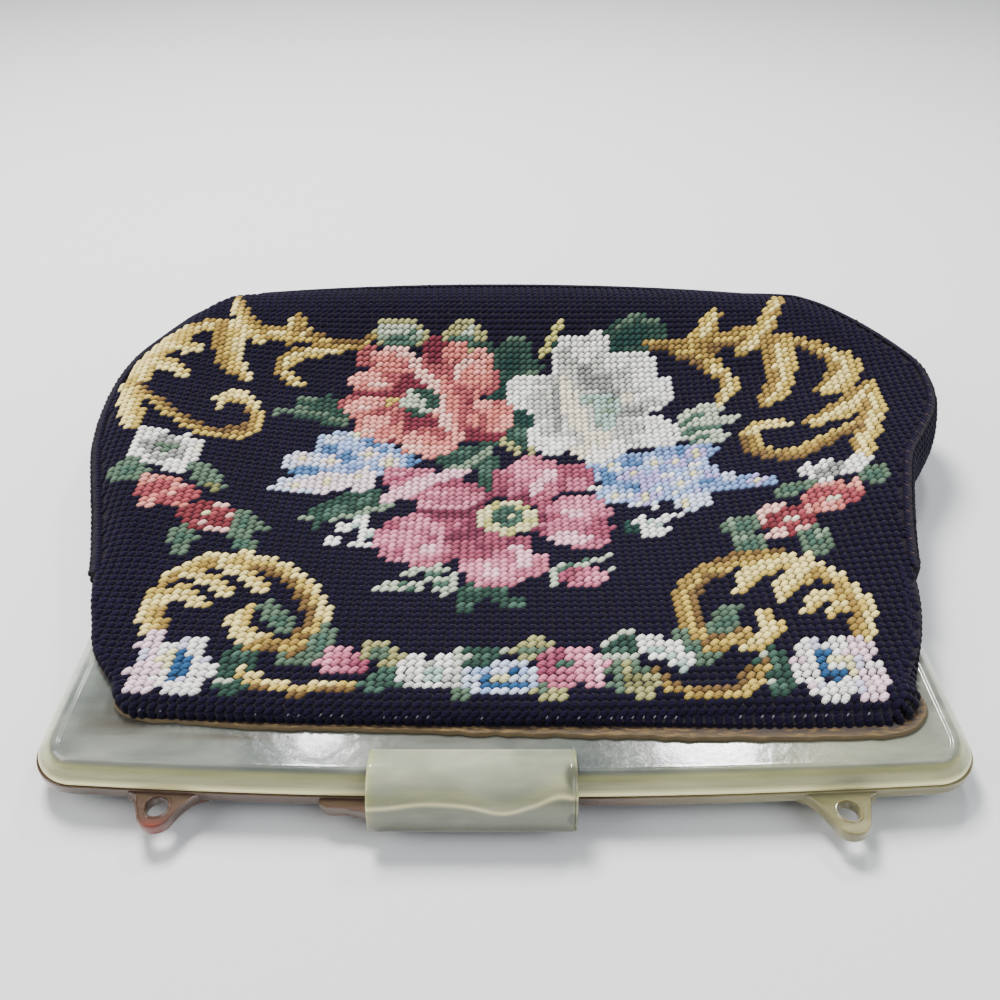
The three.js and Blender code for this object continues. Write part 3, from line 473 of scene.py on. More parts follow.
CORAL_ROSE = [
    *dabs("coral_deep", (-11, 61.5, 8, 8)),
    *dabs(
        "burgundy", (-15, 66.2, 5, 3.2, -20), (-10.4, 71.4, 2, 2.9), (-10.6, 57, 4.2, 3),
        (-5.9, 60.5, 1.4, 4.6), (-19, 62.2, 3.4, 1.2), (-15.2, 54.6, 2.8, 2.6), (-3.2, 54.6, 3.4, 1.5)
    ),
    *dabs("coral_deep", (-2.2, 66, 1.7, 3), (-22.8, 60, 1.5, 1.8), (-20.2, 69.6, 2.2, 2.1)),
    *petals(
        "coral", (-16.6, 69.3, 3.9, 2.4, 170), (-19.6, 65.2, 3.7, 2.4, 178), (-19.2, 59.4, 4.3, 2.9, 186),
        (-17.9, 55.6, 3.1, 3.6, 250), (-10.7, 52.6, 3.2, 4.5, 270)
    ),
    *petals(
        "coral", (-1.8, 58.5, 4, 3.5, 320), (-4.4, 66.8, 5.2, 3, 78), (-8.1, 60.4, 7.4, 2.6, 284),
        (-7.4, 70.6, 2.6, 1.9, 70)
    ),
    *lines(
        "coral_pale",
        [(-17.4, 71.4, 1.3), (-14.8, 70.8, 1.9), (-13.4, 68.6, 1.9), (-11.8, 66.4, 1.9), (-10.4, 64.6, 1.7)],
        [(-10, 64.4, 1.5), (-9.6, 61.4, 1.8), (-8.7, 58, 1.8), (-8.2, 55.6, 1.2)],
        [(-7.4, 66, 1), (-6.8, 68.5, 1.5), (-5.2, 69.6, 1.3)]
    ),
    *dabs(
        "coral_light", (-20.2, 66, 2.3, 0.9), (-20, 60.9, 2.4, 0.9), (-18.6, 56.6, 2.4, 1.4),
        (-13.2, 52.8, 1.5, 2), (-9.4, 51, 2.2, 0.9), (-3.4, 61, 1.8, 0.8), (0.2, 57.8, 1.2, 1.5),
        (-3.4, 68.6, 1.2, 1.3), (-7, 54, 0.8, 1.8)
    ),
    *dabs(
        "coral_pale", (-19.4, 64.6, 1.6, 0.7), (-19.6, 54.6, 1.3, 0.9), (-13, 51.2, 1.2, 0.9),
        (-20.6, 59.8, 0.9, 0.6)
    ),
    *dabs(
        "coral_deep", (-17.8, 59.2, 1.2, 0.9), (-3, 57.2, 0.9, 1.9), (-6, 61.4, 0.8, 2.4),
        (-5.8, 56.8, 0.7, 2.2), (-12, 69.2, 0.9, 1.6), (-17, 66.8, 1.3, 0.7), (-11.8, 55, 0.8, 1.4),
        (-8.6, 54.6, 0.8, 1.3), (-4, 64.4, 0.9, 0.8)
    ),
    *dabs("gold", (-16.4, 61.2, 0.8, 0.7), (-17.2, 60.2, 0.6, 0.6)),
    *dabs("green_dark", (-12.4, 61.2, 2.8, 2.9)),
    *lines(
        "sage_light",
        [(-14.6, 60.4, 1.2), (-14, 62.8, 1.5), (-12.6, 62, 1.2), (-12.4, 60.2, 1.4), (-10.8, 59.6, 1.2)]
    ),
]

WHITE_ROSE = [
    *dabs("pearl", (13, 60, 9, 9)),
    *petals(
        "white", (12.2, 69.6, 4.7, 4.9, 92), (19.8, 67.2, 4, 3.8, 55), (21.2, 62.8, 4.8, 3.6, 0),
        (4.7, 63.4, 4.3, 4.1, 165), (8, 54.5, 4.9, 3.9, 215), (20, 54.6, 5.6, 3.9, 345),
        (13.4, 51.4, 3.1, 4.1, 270)
    ),
    *dabs("white", (10.4, 73.2, 1.8, 1.2), (14.6, 73.4, 1.5, 1.5), (22, 69.2, 1.3, 1.3), (24.4, 64.2, 1.5, 1.7)),
    *dabs(
        "grey", (14, 65.8, 2.6, 1.6), (16.4, 63, 1.6, 1.6), (8, 62, 0.9, 3), (8.1, 57.4, 0.9, 2.4),
        (18.6, 59.2, 3, 0.9), (12.4, 67.6, 0.8, 1.6)
    ),
    *dabs(
        "pearl", (9.6, 69.4, 1.5, 2.6), (14.6, 68.6, 0.9, 2.2), (18.4, 66, 1.2, 2), (5, 61.6, 1.6, 1.2),
        (6.6, 55.4, 1.2, 1.6), (18.6, 55, 2, 0.9), (22, 60.8, 2.4, 0.8), (6, 65.6, 1.4, 0.8)
    ),
    *lines("cream", [(9.2, 66.4, 1.5), (9.8, 64, 2.4), (10.4, 60, 3.2), (11.3, 56.4, 3)]),
    *dabs("cream", (13.8, 53.4, 2.2, 2), (11, 50.8, 1.6, 1.4), (18.6, 62, 1.1, 0.9)),
    *dabs("seafoam", (13.6, 62, 2.6, 1.5), (14.9, 58.6, 1.9, 3.3), (16.2, 60.6, 1.3, 1.4)),
    *dabs("sage", (13, 61.4, 0.9, 0.7), (15.4, 59.6, 0.8, 0.9), (14.2, 56.6, 0.8, 0.8), (16, 61.8, 0.7, 0.6)),
]

DOG_ROSE = [
    *dabs(
        "rose_deep", (-6.6, 37.2, 4.6, 1.4, -8), (-3.6, 33.4, 2.4, 2.6), (5, 34.6, 2.2, 2), (2, 41.4, 2.4, 1.6),
        (-3.6, 41, 2, 2)
    ),
    *petals(
        "rose", (4, 44.5, 5.3, 4.9, 65), (-9.4, 42.4, 7.9, 3.6, 151), (-9.8, 31.2, 6.8, 5.8, 192),
        (-0.8, 26.4, 5.6, 4.8, 268), (8.8, 36.4, 5.6, 4.4, 22), (9, 32.6, 5.2, 3, 340)
    ),
    *dabs(
        "rose_dark", (9.7, 45, 2.6, 3.5), (-0.8, 44, 0.9, 2.8), (12.4, 33.4, 1.7, 2.3), (-1.4, 30.8, 2.2, 1.8),
        (2.6, 30.2, 1.3, 2.4)
    ),
    *dabs("rose", (-7.4, 41.2, 5, 2.9), (3.8, 25.6, 1.8, 2.4), (10, 43.4, 1.7, 1.6), (8, 34.4, 3.4, 1.2)),
    *lines(
        "rose_pale", [(-15.8, 39.6, 1.7), (-12.8, 42.2, 2.5), (-9.6, 44.9, 2.3), (-5, 46.3, 1.5)],
        [(3.8, 41.8, 1), (5, 44, 1.9), (6.6, 46.4, 1.7)], [(1.4, 29.6, 1.5), (2.4, 27.6, 1.9), (2.4, 25.2, 1.6)]
    ),
    *lines(
        "rose_dark", [(-9.6, 43.2, 0.9), (-6.2, 44, 1.2), (-2.8, 42.6, 1.3)],
        [(-15.8, 43.6, 0.8), (-13, 45.6, 0.8)]
    ),
    *lines(
        "rose_light", [(-11.4, 39, 1.5), (-7.6, 38.6, 1.5), (-4, 39.2, 1.2)],
        [(-12.6, 34.8, 1), (-9.4, 34.6, 1.6), (-7.8, 30.6, 1.5), (-9.6, 27.4, 1.6)]
    ),
    *dabs(
        "rose_light", (3.2, 46.4, 2.2, 1.7), (-1.4, 24.6, 2.6, 2.6), (10.4, 38.6, 2.9, 2), (-12, 31, 1.2, 2),
        (4.6, 27.4, 0.8, 1), (-9, 41.4, 1.4, 0.7)
    ),
    *dabs("rose_pale", (9.4, 37.2, 1.6, 1.1), (8.4, 31.4, 2.7, 1.3), (-1.6, 24.4, 1.1, 1.3), (-9.4, 28.8, 1.2, 1)),
    *dabs("rose_dark", (-14.6, 34, 1, 1.6), (-4.4, 28.2, 0.8, 1.8), (-13, 28, 0.9, 1)),
    *dabs("straw", (0.5, 36.3, 4.1, 4)),
    *dabs(
        "yellow_green", (-2.4, 35, 0.7, 0.9), (2.4, 38.4, 0.8, 0.7), (3.4, 35.4, 0.7, 0.8), (-1, 39, 0.7, 0.7),
        (0.6, 33, 0.9, 0.6)
    ),
    *dabs("green", (0.4, 36.6, 2.1, 2.4, -20)),
    *dabs("straw", (0.6, 36.6, 0.6, 0.7)),
    *dabs("green_dark", (-0.4, 35.4, 0.8, 0.8), (1, 37.8, 0.8, 0.7)),
    # its bud, and the small white flower
    *dabs("rose_dark", (8.6, 23, 1.7, 2.2)),
    *dabs("rose", (10.4, 23, 1.7, 1.9), (8.6, 21.6, 1, 0.7)),
    *dabs("rose_light", (11.6, 23.2, 1.1, 1.2), (9.8, 22.6, 0.6, 0.6)),
    *dabs("white", (19.4, 32.7, 1.7, 2.1), (21.3, 35.2, 2, 0.9, 22), (17.9, 34.9, 1, 0.8, 30), (18, 31.8, 1, 0.8)),
    *dabs("seafoam", (19, 34.4, 0.8, 0.7), (20.2, 33.4, 0.6, 0.6)),
]

BLUE_SPRAYS = [
    *dabs("blue_light", (-22, 51.6, 4.7, 2.7, 8), (-17, 48.4, 4.9, 3.3), (-23, 46.4, 6.8, 4.2, 10)),
    *dabs("blue_pale", (-27.6, 46.6, 3, 2.9), (-27.4, 41.6, 3.8, 1.9, 14), (-24.4, 52.2, 1.6, 1)),
    *dabs("pink_white", (-19.6, 44.2, 2.5, 3), (-24.4, 42.6, 2.8, 2.2)),
    *dabs(
        "blue_dark", (-24.3, 50, 1.2, 1.1), (-22, 48.4, 1.2, 1.5), (-27.2, 44.8, 2.1, 0.9),
        (-18.6, 51.8, 1.4, 0.9, -35), (-17, 50.6, 1, 0.8), (-12.8, 48.6, 0.9, 1.5)
    ),
    *dabs(
        "blue", (-20.8, 46, 0.9, 1.2), (-17.4, 46.4, 1, 0.8), (-19.8, 52.6, 0.8, 0.8), (-24.8, 45.2, 0.9, 0.7),
        (-14.6, 50.2, 1.2, 0.7)
    ),
    *dabs("blue_light", (20, 46.3, 8.4, 4), (16, 41.4, 4, 2.5), (24, 41.6, 5.6, 2.8, 10), (27.4, 44.9, 1.9, 2)),
    *dabs(
        "blue", (26.2, 49, 3.9, 1.8, 10), (31.6, 41.4, 5, 1.5, -4), (17, 49.2, 3.2, 1.2),
        (23.6, 49.8, 2.2, 1.1), (13.2, 47.6, 1.2, 1.6), (21.8, 46.4, 1.2, 1), (16.4, 42.8, 1.4, 0.8)
    ),
    *dabs("blue_pale", (25, 38.2, 2.5, 1.9, 25), (18.5, 38.7, 2.4, 1.1, 10), (30.4, 43, 1.1, 0.6)),
    *dabs(
        "blue_dark", (18, 47.8, 1.2, 1.2), (14.8, 45.2, 1.1, 2), (17.8, 42.4, 1.4, 1), (27.8, 42.4, 1, 0.9),
        (24.6, 50, 1, 0.6), (14.4, 43.4, 0.9, 0.8)
    ),
    *dabs(
        "lilac", (21, 44.3, 2.6, 1.3), (14.9, 48, 1, 0.7), (16.6, 44.4, 0.9, 1), (28.4, 43.8, 0.9, 0.9),
        (25, 46.4, 1.2, 0.8), (20, 40.6, 1.3, 0.8), (26, 40.4, 1, 0.8), (19.4, 42.6, 0.8, 0.8)
    ),
    *dabs(
        "white", (15.8, 46.8, 1, 0.7), (12.8, 42.4, 0.9, 0.7), (16.2, 40.6, 1, 0.8), (22.6, 44.2, 1, 0.6),
        (24.8, 42.2, 1, 0.6), (26.8, 46.2, 0.9, 0.7), (21.2, 41.8, 0.9, 0.6), (18.2, 38.7, 1, 0.6),
        (24, 37, 0.9, 0.6), (23.2, 40.2, 0.8, 0.6), (20, 37.8, 0.7, 0.5)
    ),
]
# Florets: four stitches round a yellow one.
Floret = namedtuple("Floret", "wool x y")
FLORETS = [Floret(wool, x, y) for wool, spots in (
    ("pink_white", [(-19.2, 49.4), (-15.6, 48), (-28, 47.6), (-24, 47.2), (-24.4, 43), (-28, 41.8), (-20.2, 44.4)]),
    ("blue_pale", [(-21, 53.2), (14.6, 47.4), (20.6, 47.6), (23.8, 42.8), (14.6, 40.8), (25.6, 44.8), (24.4, 38)]),
    ("lilac", [(17.6, 45.2), (26.6, 49), (19.2, 40), (23.8, 47.4), (34, 41.2)]),
) for x, y in spots]

SIDE_FLOWERS = [
    # white ones
    *dabs(
        "white", (-48.6, 48.6, 2.1, 1.7), (-49.2, 45, 1.6, 1.8), (-43.8, 47.8, 2.2, 1.8), (-43, 44.8, 1.5, 1.6),
        (-44, 42.2, 1.3, 1.3), (-47, 43.2, 2.2, 1.1)
    ),
    *dabs("grey", (-46.4, 46, 3, 2.7)),
    *dabs("pearl", (-48, 47.4, 1, 0.8), (-44.4, 46.8, 0.8, 0.9), (-46.8, 44.6, 1.2, 0.6)),
    *dabs("sage_dark", (-46, 46.2, 1.2, 0.9)),
    *dabs("cream", (-42, 47.4, 0.6, 1)),
    *dabs("white", (41, 42, 1.7, 1.7), (46.8, 42, 2.7, 1.5, 18), (42.4, 39.8, 1.4, 0.7), (43.4, 43, 1.4, 0.7)),
    *dabs("grey", (43.6, 41.3, 2.4, 1.2, 12)),
    # red ones
    *dabs("coral", (-43.8, 36.8, 4, 3, -12), (42.4, 36, 4.3, 2.8, 8)),
    *dabs(
        "red", (-44.8, 37.6, 1.5, 1.3), (-41.4, 36.8, 1.6, 1.8), (-46.6, 36, 0.8, 1.6), (-43.4, 35, 0.8, 0.9),
        (40.8, 37, 1.6, 1), (44.6, 35.4, 1.7, 1.4), (42.8, 36.8, 0.9, 0.8), (39.6, 35.4, 0.9, 0.7)
    ),
    *dabs(
        "coral_light", (-46.4, 39, 1, 1), (-43.2, 36.4, 0.7, 0.7), (-45.4, 33.9, 1.1, 0.7),
        (-42.6, 38.8, 1, 0.7), (45.8, 37.8, 1.1, 0.9), (41.6, 34, 1.4, 0.6), (38.6, 34.2, 0.9, 0.8),
        (42.8, 38.2, 1.2, 0.6)
    ),
    *dabs("red_deep", (-37.8, 33, 3.3, 2.9), (36, 32.4, 3.2, 2.9)),
    *dabs(
        "red", (-36.8, 34.2, 1.2, 0.9), (-38.8, 31.6, 1, 0.9), (37, 33.4, 1.2, 0.9), (35.2, 31.2, 1, 0.8),
        (37.6, 31, 0.9, 0.8)
    ),
    *dabs(
        "coral_pale", (-36.6, 35.7, 1.4, 0.8), (-34.9, 33.6, 0.8, 0.9), (-35.6, 30.4, 1.6, 0.9),
        (-38.2, 31.4, 0.7, 0.6), (34.4, 35, 1.8, 0.9, 20), (33.4, 33, 0.7, 0.9), (34.2, 30, 1.8, 0.8, 20),
        (37.4, 30.6, 0.7, 0.6)
    ),
    *dabs("straw", (-38.2, 33.5, 0.7, 0.8)),
    *dabs("cream", (42.2, 35.8, 0.9, 0.7), (36.3, 32.6, 1, 0.7)),
]

CORNER_FLOWERS = [
    *dabs(
        "white", (-34, 9.2, 2, 2.2), (-32.4, 6.2, 1.7, 1.9), (-33.6, 3.2, 2.3, 1.7), (-36.4, 9, 1.3, 1.5),
        (-36, 4.8, 1.7, 1.7), (-35.4, 6.6, 2.2, 2)
    ),
    *dabs("rose_mist", (-38.6, 9.6, 1.5, 2.1), (-38.4, 5.6, 1.8, 1.5), (-37.6, 3, 1.7, 1.2), (-37.2, 7.2, 0.9, 1)),
    *dabs("lilac_mist", (-35, 10.2, 0.8, 0.8), (-32, 7.6, 0.8, 0.8), (-34, 4.6, 1, 0.6), (-38.8, 8, 0.7, 0.7)),
    *dabs(
        "white", (33.6, 8.8, 2, 2), (32.2, 5.6, 1.6, 1.9), (34, 2.8, 2.3, 1.7), (36.6, 9.2, 1.4, 1.5),
        (36.6, 4.4, 1.8, 1.7), (35.4, 6.4, 2.2, 2), (38.8, 6.2, 1.4, 1)
    ),
    *dabs(
        "rose_mist", (38.6, 8.8, 1.7, 2), (39, 4.4, 1.6, 1.7), (37.8, 2, 1.8, 1), (31.6, 7.4, 0.9, 1),
        (31.8, 3.6, 0.7, 0.7)
    ),
    *dabs("lilac_mist", (34.4, 10, 0.8, 0.7), (33, 3.8, 0.8, 0.7), (36.8, 3, 0.8, 0.7), (38, 7, 0.6, 0.7)),
    *dabs("straw", (-35.9, 7.6, 1.2, 1), (-36.4, 6.6, 0.6, 0.7), (36.2, 7.4, 1.3, 0.8), (37, 6.2, 0.7, 0.9)),
    *dabs(
        "blue_deep", (-34.4, 6.9, 1, 1.1), (-34.9, 5.2, 0.8, 0.9), (-33.6, 6, 0.8, 0.7), (-34.9, 8.8, 0.8, 0.6),
        (34.2, 6.2, 0.8, 1.6), (35.3, 5.2, 0.8, 1.4), (34.8, 8.2, 0.9, 0.7), (36, 5.8, 0.7, 0.6)
    ),
]

GARLAND = [
    *dabs("rose_light", (-17.7, 9.2, 1.6, 1.1), (-18.8, 7.4, 1.7, 1.2)),
    *dabs("rose", (-16.4, 7.6, 2.2, 1.4)),
    *dabs("rose_dark", (-15.4, 7.2, 1.2, 0.8)),
    *dabs("olive_light", (-14.2, 9.7, 1.8, 1.8), (-12.2, 8.4, 2, 1.3, -32)),
    *dabs("sage_dark", (-13.4, 9, 1.3, 0.8, -20), (-12, 6.8, 0.9, 0.7)),
    *dabs("green", (-13, 4.9, 2.4, 1.6, 15)),
    *dabs("green_dark", (-12.4, 4.6, 1.3, 0.7)),
    *dabs("white", (-9.4, 6.4, 1.9, 2.5), (-6.4, 6.2, 2.7, 2.7)),
    *dabs("pearl", (-8, 7, 0.8, 1.2), (-5.4, 5, 1.2, 0.8), (-9.8, 5, 0.8, 0.8), (-5.2, 7.2, 0.7, 0.8)),
    *dabs("seafoam", (-7.2, 6, 0.9, 1.1)),
    *dabs("green_dark", (-2.6, 8.7, 2.4, 1.5)),
    *dabs("green", (-2.2, 8.4, 0.9, 0.6)),
    *dabs("sage_light", (-4.6, 8.8, 0.9, 0.8), (-1.6, 10, 0.8, 0.5), (-0.2, 9.2, 0.8, 0.6)),
    *dabs("blue_pale", (-0.4, 5.3, 4.1, 2.5, 8), (-2.8, 6, 1.4, 1)),
    *dabs("blue_light", (-2.2, 6.2, 1.1, 0.7), (1.8, 6.4, 1.1, 0.8), (2.4, 4.8, 0.9, 0.7), (-2, 3.8, 0.8, 0.5)),
    *dabs("blue_deep", (-1.4, 5.1, 1.4, 0.8), (0.8, 4.4, 1.3, 0.8), (1.2, 6.4, 0.6, 0.5)),
    *dabs("straw", (-0.1, 5.6, 1.1, 0.6, 22)),
    *dabs("sage_dark", (-4.2, 3.1, 1.2, 1.1)),
    *dabs("olive_light", (3.2, 10, 2.4, 1.6, 20), (4.8, 3.4, 2, 1.6)),
    *dabs("sage_dark", (3.2, 9.6, 1.3, 0.8), (4.4, 4, 0.9, 0.6)),
    *dabs("rose", (5.2, 7, 2, 2.9), (7, 5.4, 1.7, 1)),
    *dabs("rose_dark", (4.6, 7.2, 1.1, 1.8), (6.4, 9, 1.2, 0.8)),
    *dabs("rose_light", (9.2, 6.9, 1.9, 2.8), (7.6, 9, 1, 0.8)),
    *dabs("rose_pale", (9.8, 8.4, 1, 1), (10.4, 6, 0.7, 0.9)),
    *dabs("green", (6.7, 7.4, 1.2, 0.9)),
    *dabs("green_dark", (12.9, 10.2, 2.5, 1.7, 35)),
    *dabs("green", (12.4, 9.6, 1.1, 0.8)),
    *lines("sage_light", [(10.8, 10.4, 0.9), (12.6, 12, 1), (14.6, 13, 1.1)], [(11, 8.4, 0.9), (13.6, 8.6, 0.9)]),
    *dabs("white", (16.8, 9.9, 2.6, 1.7, -8), (18.6, 8.2, 1.7, 1.5), (15.2, 11, 0.9, 0.8)),
    *dabs("seafoam", (16.2, 9.2, 0.9, 0.7), (17.8, 8.6, 0.8, 0.7), (19, 7, 0.8, 0.6)),
    *dabs("sage_dark", (13, 6.2, 2.1, 1.9), (11.9, 4.6, 1.1, 1.4)),
    *dabs("olive_light", (14.3, 3.4, 1.5, 1.4), (15.5, 5.2, 1.3, 1.2), (12.6, 7, 0.9, 0.6)),
    *dabs("olive", (13.6, 5, 0.9, 0.8), (15, 4.4, 0.6, 0.6)),
]


# Small helpers


def linear(colour):
    """A hex colour as scene-linear red, green and blue."""
    part = np.array([int(colour[i : i + 2], 16) for i in (1, 3, 5)]) / 255
    return tuple(np.where(part <= 0.04045, part / 12.92, ((part + 0.055) / 1.055) ** 2.4))


def smoothstep(value, low, high):
    t = np.clip((value - low) / (high - low), 0, 1)
    return t * t * (3 - 2 * t)


def unit(vectors):
    return vectors / np.maximum(np.linalg.norm(vectors, axis=-1, keepdims=True), 1e-12)


def turned(turn):
    return math.cos(math.radians(turn)), math.sin(math.radians(turn))


def spline(points, count):
    """A smooth line through rows of numbers, with count steps between two rows."""
    points = np.asarray(points, float)
    padded = np.vstack([2 * points[0] - points[1], points, 2 * points[-1] - points[-2]])
    t = np.arange(count)[:, None] / count
    line = [
        ((2 * b) + (c - a) * t + (2 * a - 5 * b + 4 * c - d) * t**2 + (3 * b - a - 3 * c + d) * t**3) / 2
        for a, b, c, d in zip(padded, padded[1:], padded[2:], padded[3:])
    ]
    return np.vstack([*line, points[-1:]])


def rounded(corners, radius, steps=4):
    """A polyline with its inner corners rounded by up to radius."""
    corners = np.asarray(corners, float)
    line = [corners[:1]]
    for before, here, after in zip(corners, corners[1:], corners[2:]):
        reach = [min(radius, np.linalg.norm(end - here) / 2) for end in (before, after)]
        start = here + unit(before - here) * reach[0]
        end = here + unit(after - here) * reach[1]
        t = np.linspace(0, 1, steps + 1)[:, None]
        line.append((1 - t) ** 2 * start + 2 * t * (1 - t) * here + t**2 * end)
    return np.vstack([*line, corners[-1:]])


def level(plan):
    """Rows of x and y, with a height of zero."""
    return np.column_stack([plan, np.zeros(len(plan))])


def resampled(line, arc, at):
    """The columns of a line at given distances along it."""
    return np.stack([np.interp(at, arc, values) for values in line.T], -1)


def hump(distance, width):
    return np.exp(-((distance / width) ** 2))


def along_line(points):
    """Distance along a line of points."""
    steps = np.linalg.norm(np.diff(points, axis=0), axis=1)
    return np.concatenate([[0], np.cumsum(steps)])


def add_mesh(name, points, faces, smooth_angle=None):
    """A mesh object from points measured from the rim's middle, and faces of any size."""
    mesh = bpy.data.meshes.new(name)
    points = np.asarray(points, float).reshape(-1, 3) + ORIGIN
    if isinstance(faces, np.ndarray):
        count, size = faces.shape
        mesh.vertices.add(len(points))
        mesh.vertices.foreach_set("co", points.astype(np.float32).ravel())
        mesh.loops.add(count * size)
        mesh.loops.foreach_set("vertex_index", faces.astype(np.int32).ravel())
        mesh.polygons.add(count)
        mesh.polygons.foreach_set("loop_start", np.arange(count, dtype=np.int32) * size)
        mesh.update(calc_edges=True)
    else:
        mesh.from_pydata(points.tolist(), [], faces)
    piece = bpy.data.objects.new(name, mesh)
    bpy.context.collection.objects.link(piece)
    mesh.shade_smooth()
    if smooth_angle is not None:
        mesh.set_sharp_from_angle(angle=math.radians(smooth_angle))
    return piece


def finish_piece(piece, body, slot, material, *nodes):
    """Gives a piece its material, its body and the nodes that it stands for."""
    piece.data.materials.clear()
    piece.data.materials.append(material)
    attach(piece, body)
    if nodes:
        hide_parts(*nodes)
    return piece


def grid_faces(rows, columns, closed=False):
    """Quads of a grid of points; closed joins the last column to the first."""
    i, j = np.meshgrid(np.arange(rows - 1), np.arange(columns if closed else columns - 1), indexing="ij")
    here = i * columns + j
    beside = i * columns + (j + 1) % columns
    return np.stack([here, beside, beside + columns, here + columns], -1).reshape(-1, 4)


def loft(name, loops, smooth_angle=None, capped=True):
    """Closed loops of equal size joined in order, with flat ends."""
    loops = np.asarray(loops, float)
    count, size, _ = loops.shape
    faces = grid_faces(count, size, closed=True).tolist()
    if capped:
        faces.append(list(range(size))[::-1])
        faces.append([(count - 1) * size + k for k in range(size)])
    piece = add_mesh(name, loops, faces, smooth_angle)
    face_out(piece)
    return piece


def face_out(piece, weld=None):
    """Turns a closed mesh's faces outwards, after joining points that are closer than weld."""
    work = bmesh.new()
    work.from_mesh(piece.data)
    if weld:
        bmesh.ops.remove_doubles(work, verts=work.verts, dist=weld)
    bmesh.ops.recalc_face_normals(work, faces=work.faces)
    work.to_mesh(piece.data)
    work.free()


def sheet(name, upper, lower):
    """A closed sheet between two grids of points."""
    rows, columns, _ = upper.shape
    top = grid_faces(rows, columns)
    low = top[:, ::-1] + rows * columns
    edge = np.concatenate([
        np.arange(columns),
        np.arange(1, rows) * columns + columns - 1,
        (rows - 1) * columns + np.arange(columns - 2, -1, -1),
        np.arange(rows - 2, 0, -1) * columns,
    ])
    beside = np.roll(edge, -1)
    wall = np.stack([beside, edge, edge + rows * columns, beside + rows * columns], -1)
    return add_mesh(
        name, np.concatenate([upper.reshape(-1, 3), lower.reshape(-1, 3)]), np.vstack([top, low, wall]), 50
    )


def bar_along_x(name, radius, low, high, y, z, sides=48):
    angles = np.linspace(0, 2 * math.pi, sides, endpoint=False)
    ring = np.stack([np.zeros(sides), y + radius * np.cos(angles), z + radius * np.sin(angles)], -1)
    edge = 0.12 * radius
    loops = []
    for x, shrink in ((low, 1 - edge / radius), (low + edge, 1), (high - edge, 1), (high, 1 - edge / radius)):
        loop = ring.copy()
        loop[:, 0] = x
        loop[:, 1] = y + (ring[:, 1] - y) * shrink
        loop[:, 2] = z + (ring[:, 2] - z) * shrink
        loops.append(loop)
    return loft(name, loops, 40)


def combine(piece, tool, operation):
    """Joins a tool to a piece or cuts it out of the piece, and removes the tool."""
    change = piece.modifiers.new("combine", "BOOLEAN")
    change.operation, change.object, change.solver = operation, tool, "EXACT"
    bpy.context.view_layer.update()
    result = bpy.data.meshes.new_from_object(piece.evaluated_get(bpy.context.evaluated_depsgraph_get()))
    piece.modifiers.clear()
    old, piece.data = piece.data, result
    bpy.data.meshes.remove(old)
    bpy.data.objects.remove(tool)


def join(name, pieces):
    """One mesh from several."""
    work = bmesh.new()
    for piece in pieces:
        work.from_mesh(piece.data)
    mesh = bpy.data.meshes.new(name)
    work.to_mesh(mesh)
    work.free()
    for piece in pieces:
        bpy.data.objects.remove(piece)
    joined = bpy.data.objects.new(name, mesh)
    bpy.context.collection.objects.link(joined)
    mesh.shade_smooth()
    mesh.set_sharp_from_angle(angle=math.radians(40))
    return joined


def places(piece):
    """A piece's points, measured from the rim's middle."""
    found = np.empty(len(piece.data.vertices) * 3)
    piece.data.vertices.foreach_get("co", found)
    return found.reshape(-1, 3) - ORIGIN


def store(piece, **masks):
    """Keeps a number for each point of a piece, for its material."""
    for name, values in masks.items():
        kept = piece.data.attributes.new(name, "FLOAT", "POINT")
        kept.data.foreach_set("value", np.clip(values, 0, 1).astype(np.float32))


# Materials


def feed(tree, socket, value):
    """Gives a socket a plain value, a hex colour, another socket, or a node's main output."""
    if isinstance(value, bpy.types.Node):
        value = next(output for output in value.outputs if output.enabled)
    if isinstance(value, bpy.types.NodeSocket):
        tree.links.new(value, socket)
    else:
        socket.default_value = (*linear(value), 1) if isinstance(value, str) else value


def node(tree, kind, inputs=None, stops=None, **settings):
    """Adds a node with its settings, its inputs and its colour stops."""
    made = tree.nodes.new("ShaderNode" + kind)
    for name, value in settings.items():
        setattr(made, name, value)
    for socket, value in (inputs or {}).items():
        feed(tree, made.inputs[socket], value)
    if stops:
        ramp = made.color_ramp.elements
        while len(ramp) < len(stops):
            ramp.new(0.5)
        for element, (place, colour) in zip(ramp, stops):
            element.position, element.color = place, (*linear(colour), 1)
    return made


def new_material(name, **sockets):
    """A material with its own Principled shader, and plain values on the shader's sockets."""
    material = bpy.data.materials.new(name)
    material.use_nodes = True
    tree = material.node_tree
    shader = tree.nodes["Principled BSDF"]
    for socket, value in sockets.items():
        shader.inputs[socket.replace("_", " ")].default_value = value
    return material, tree, shader


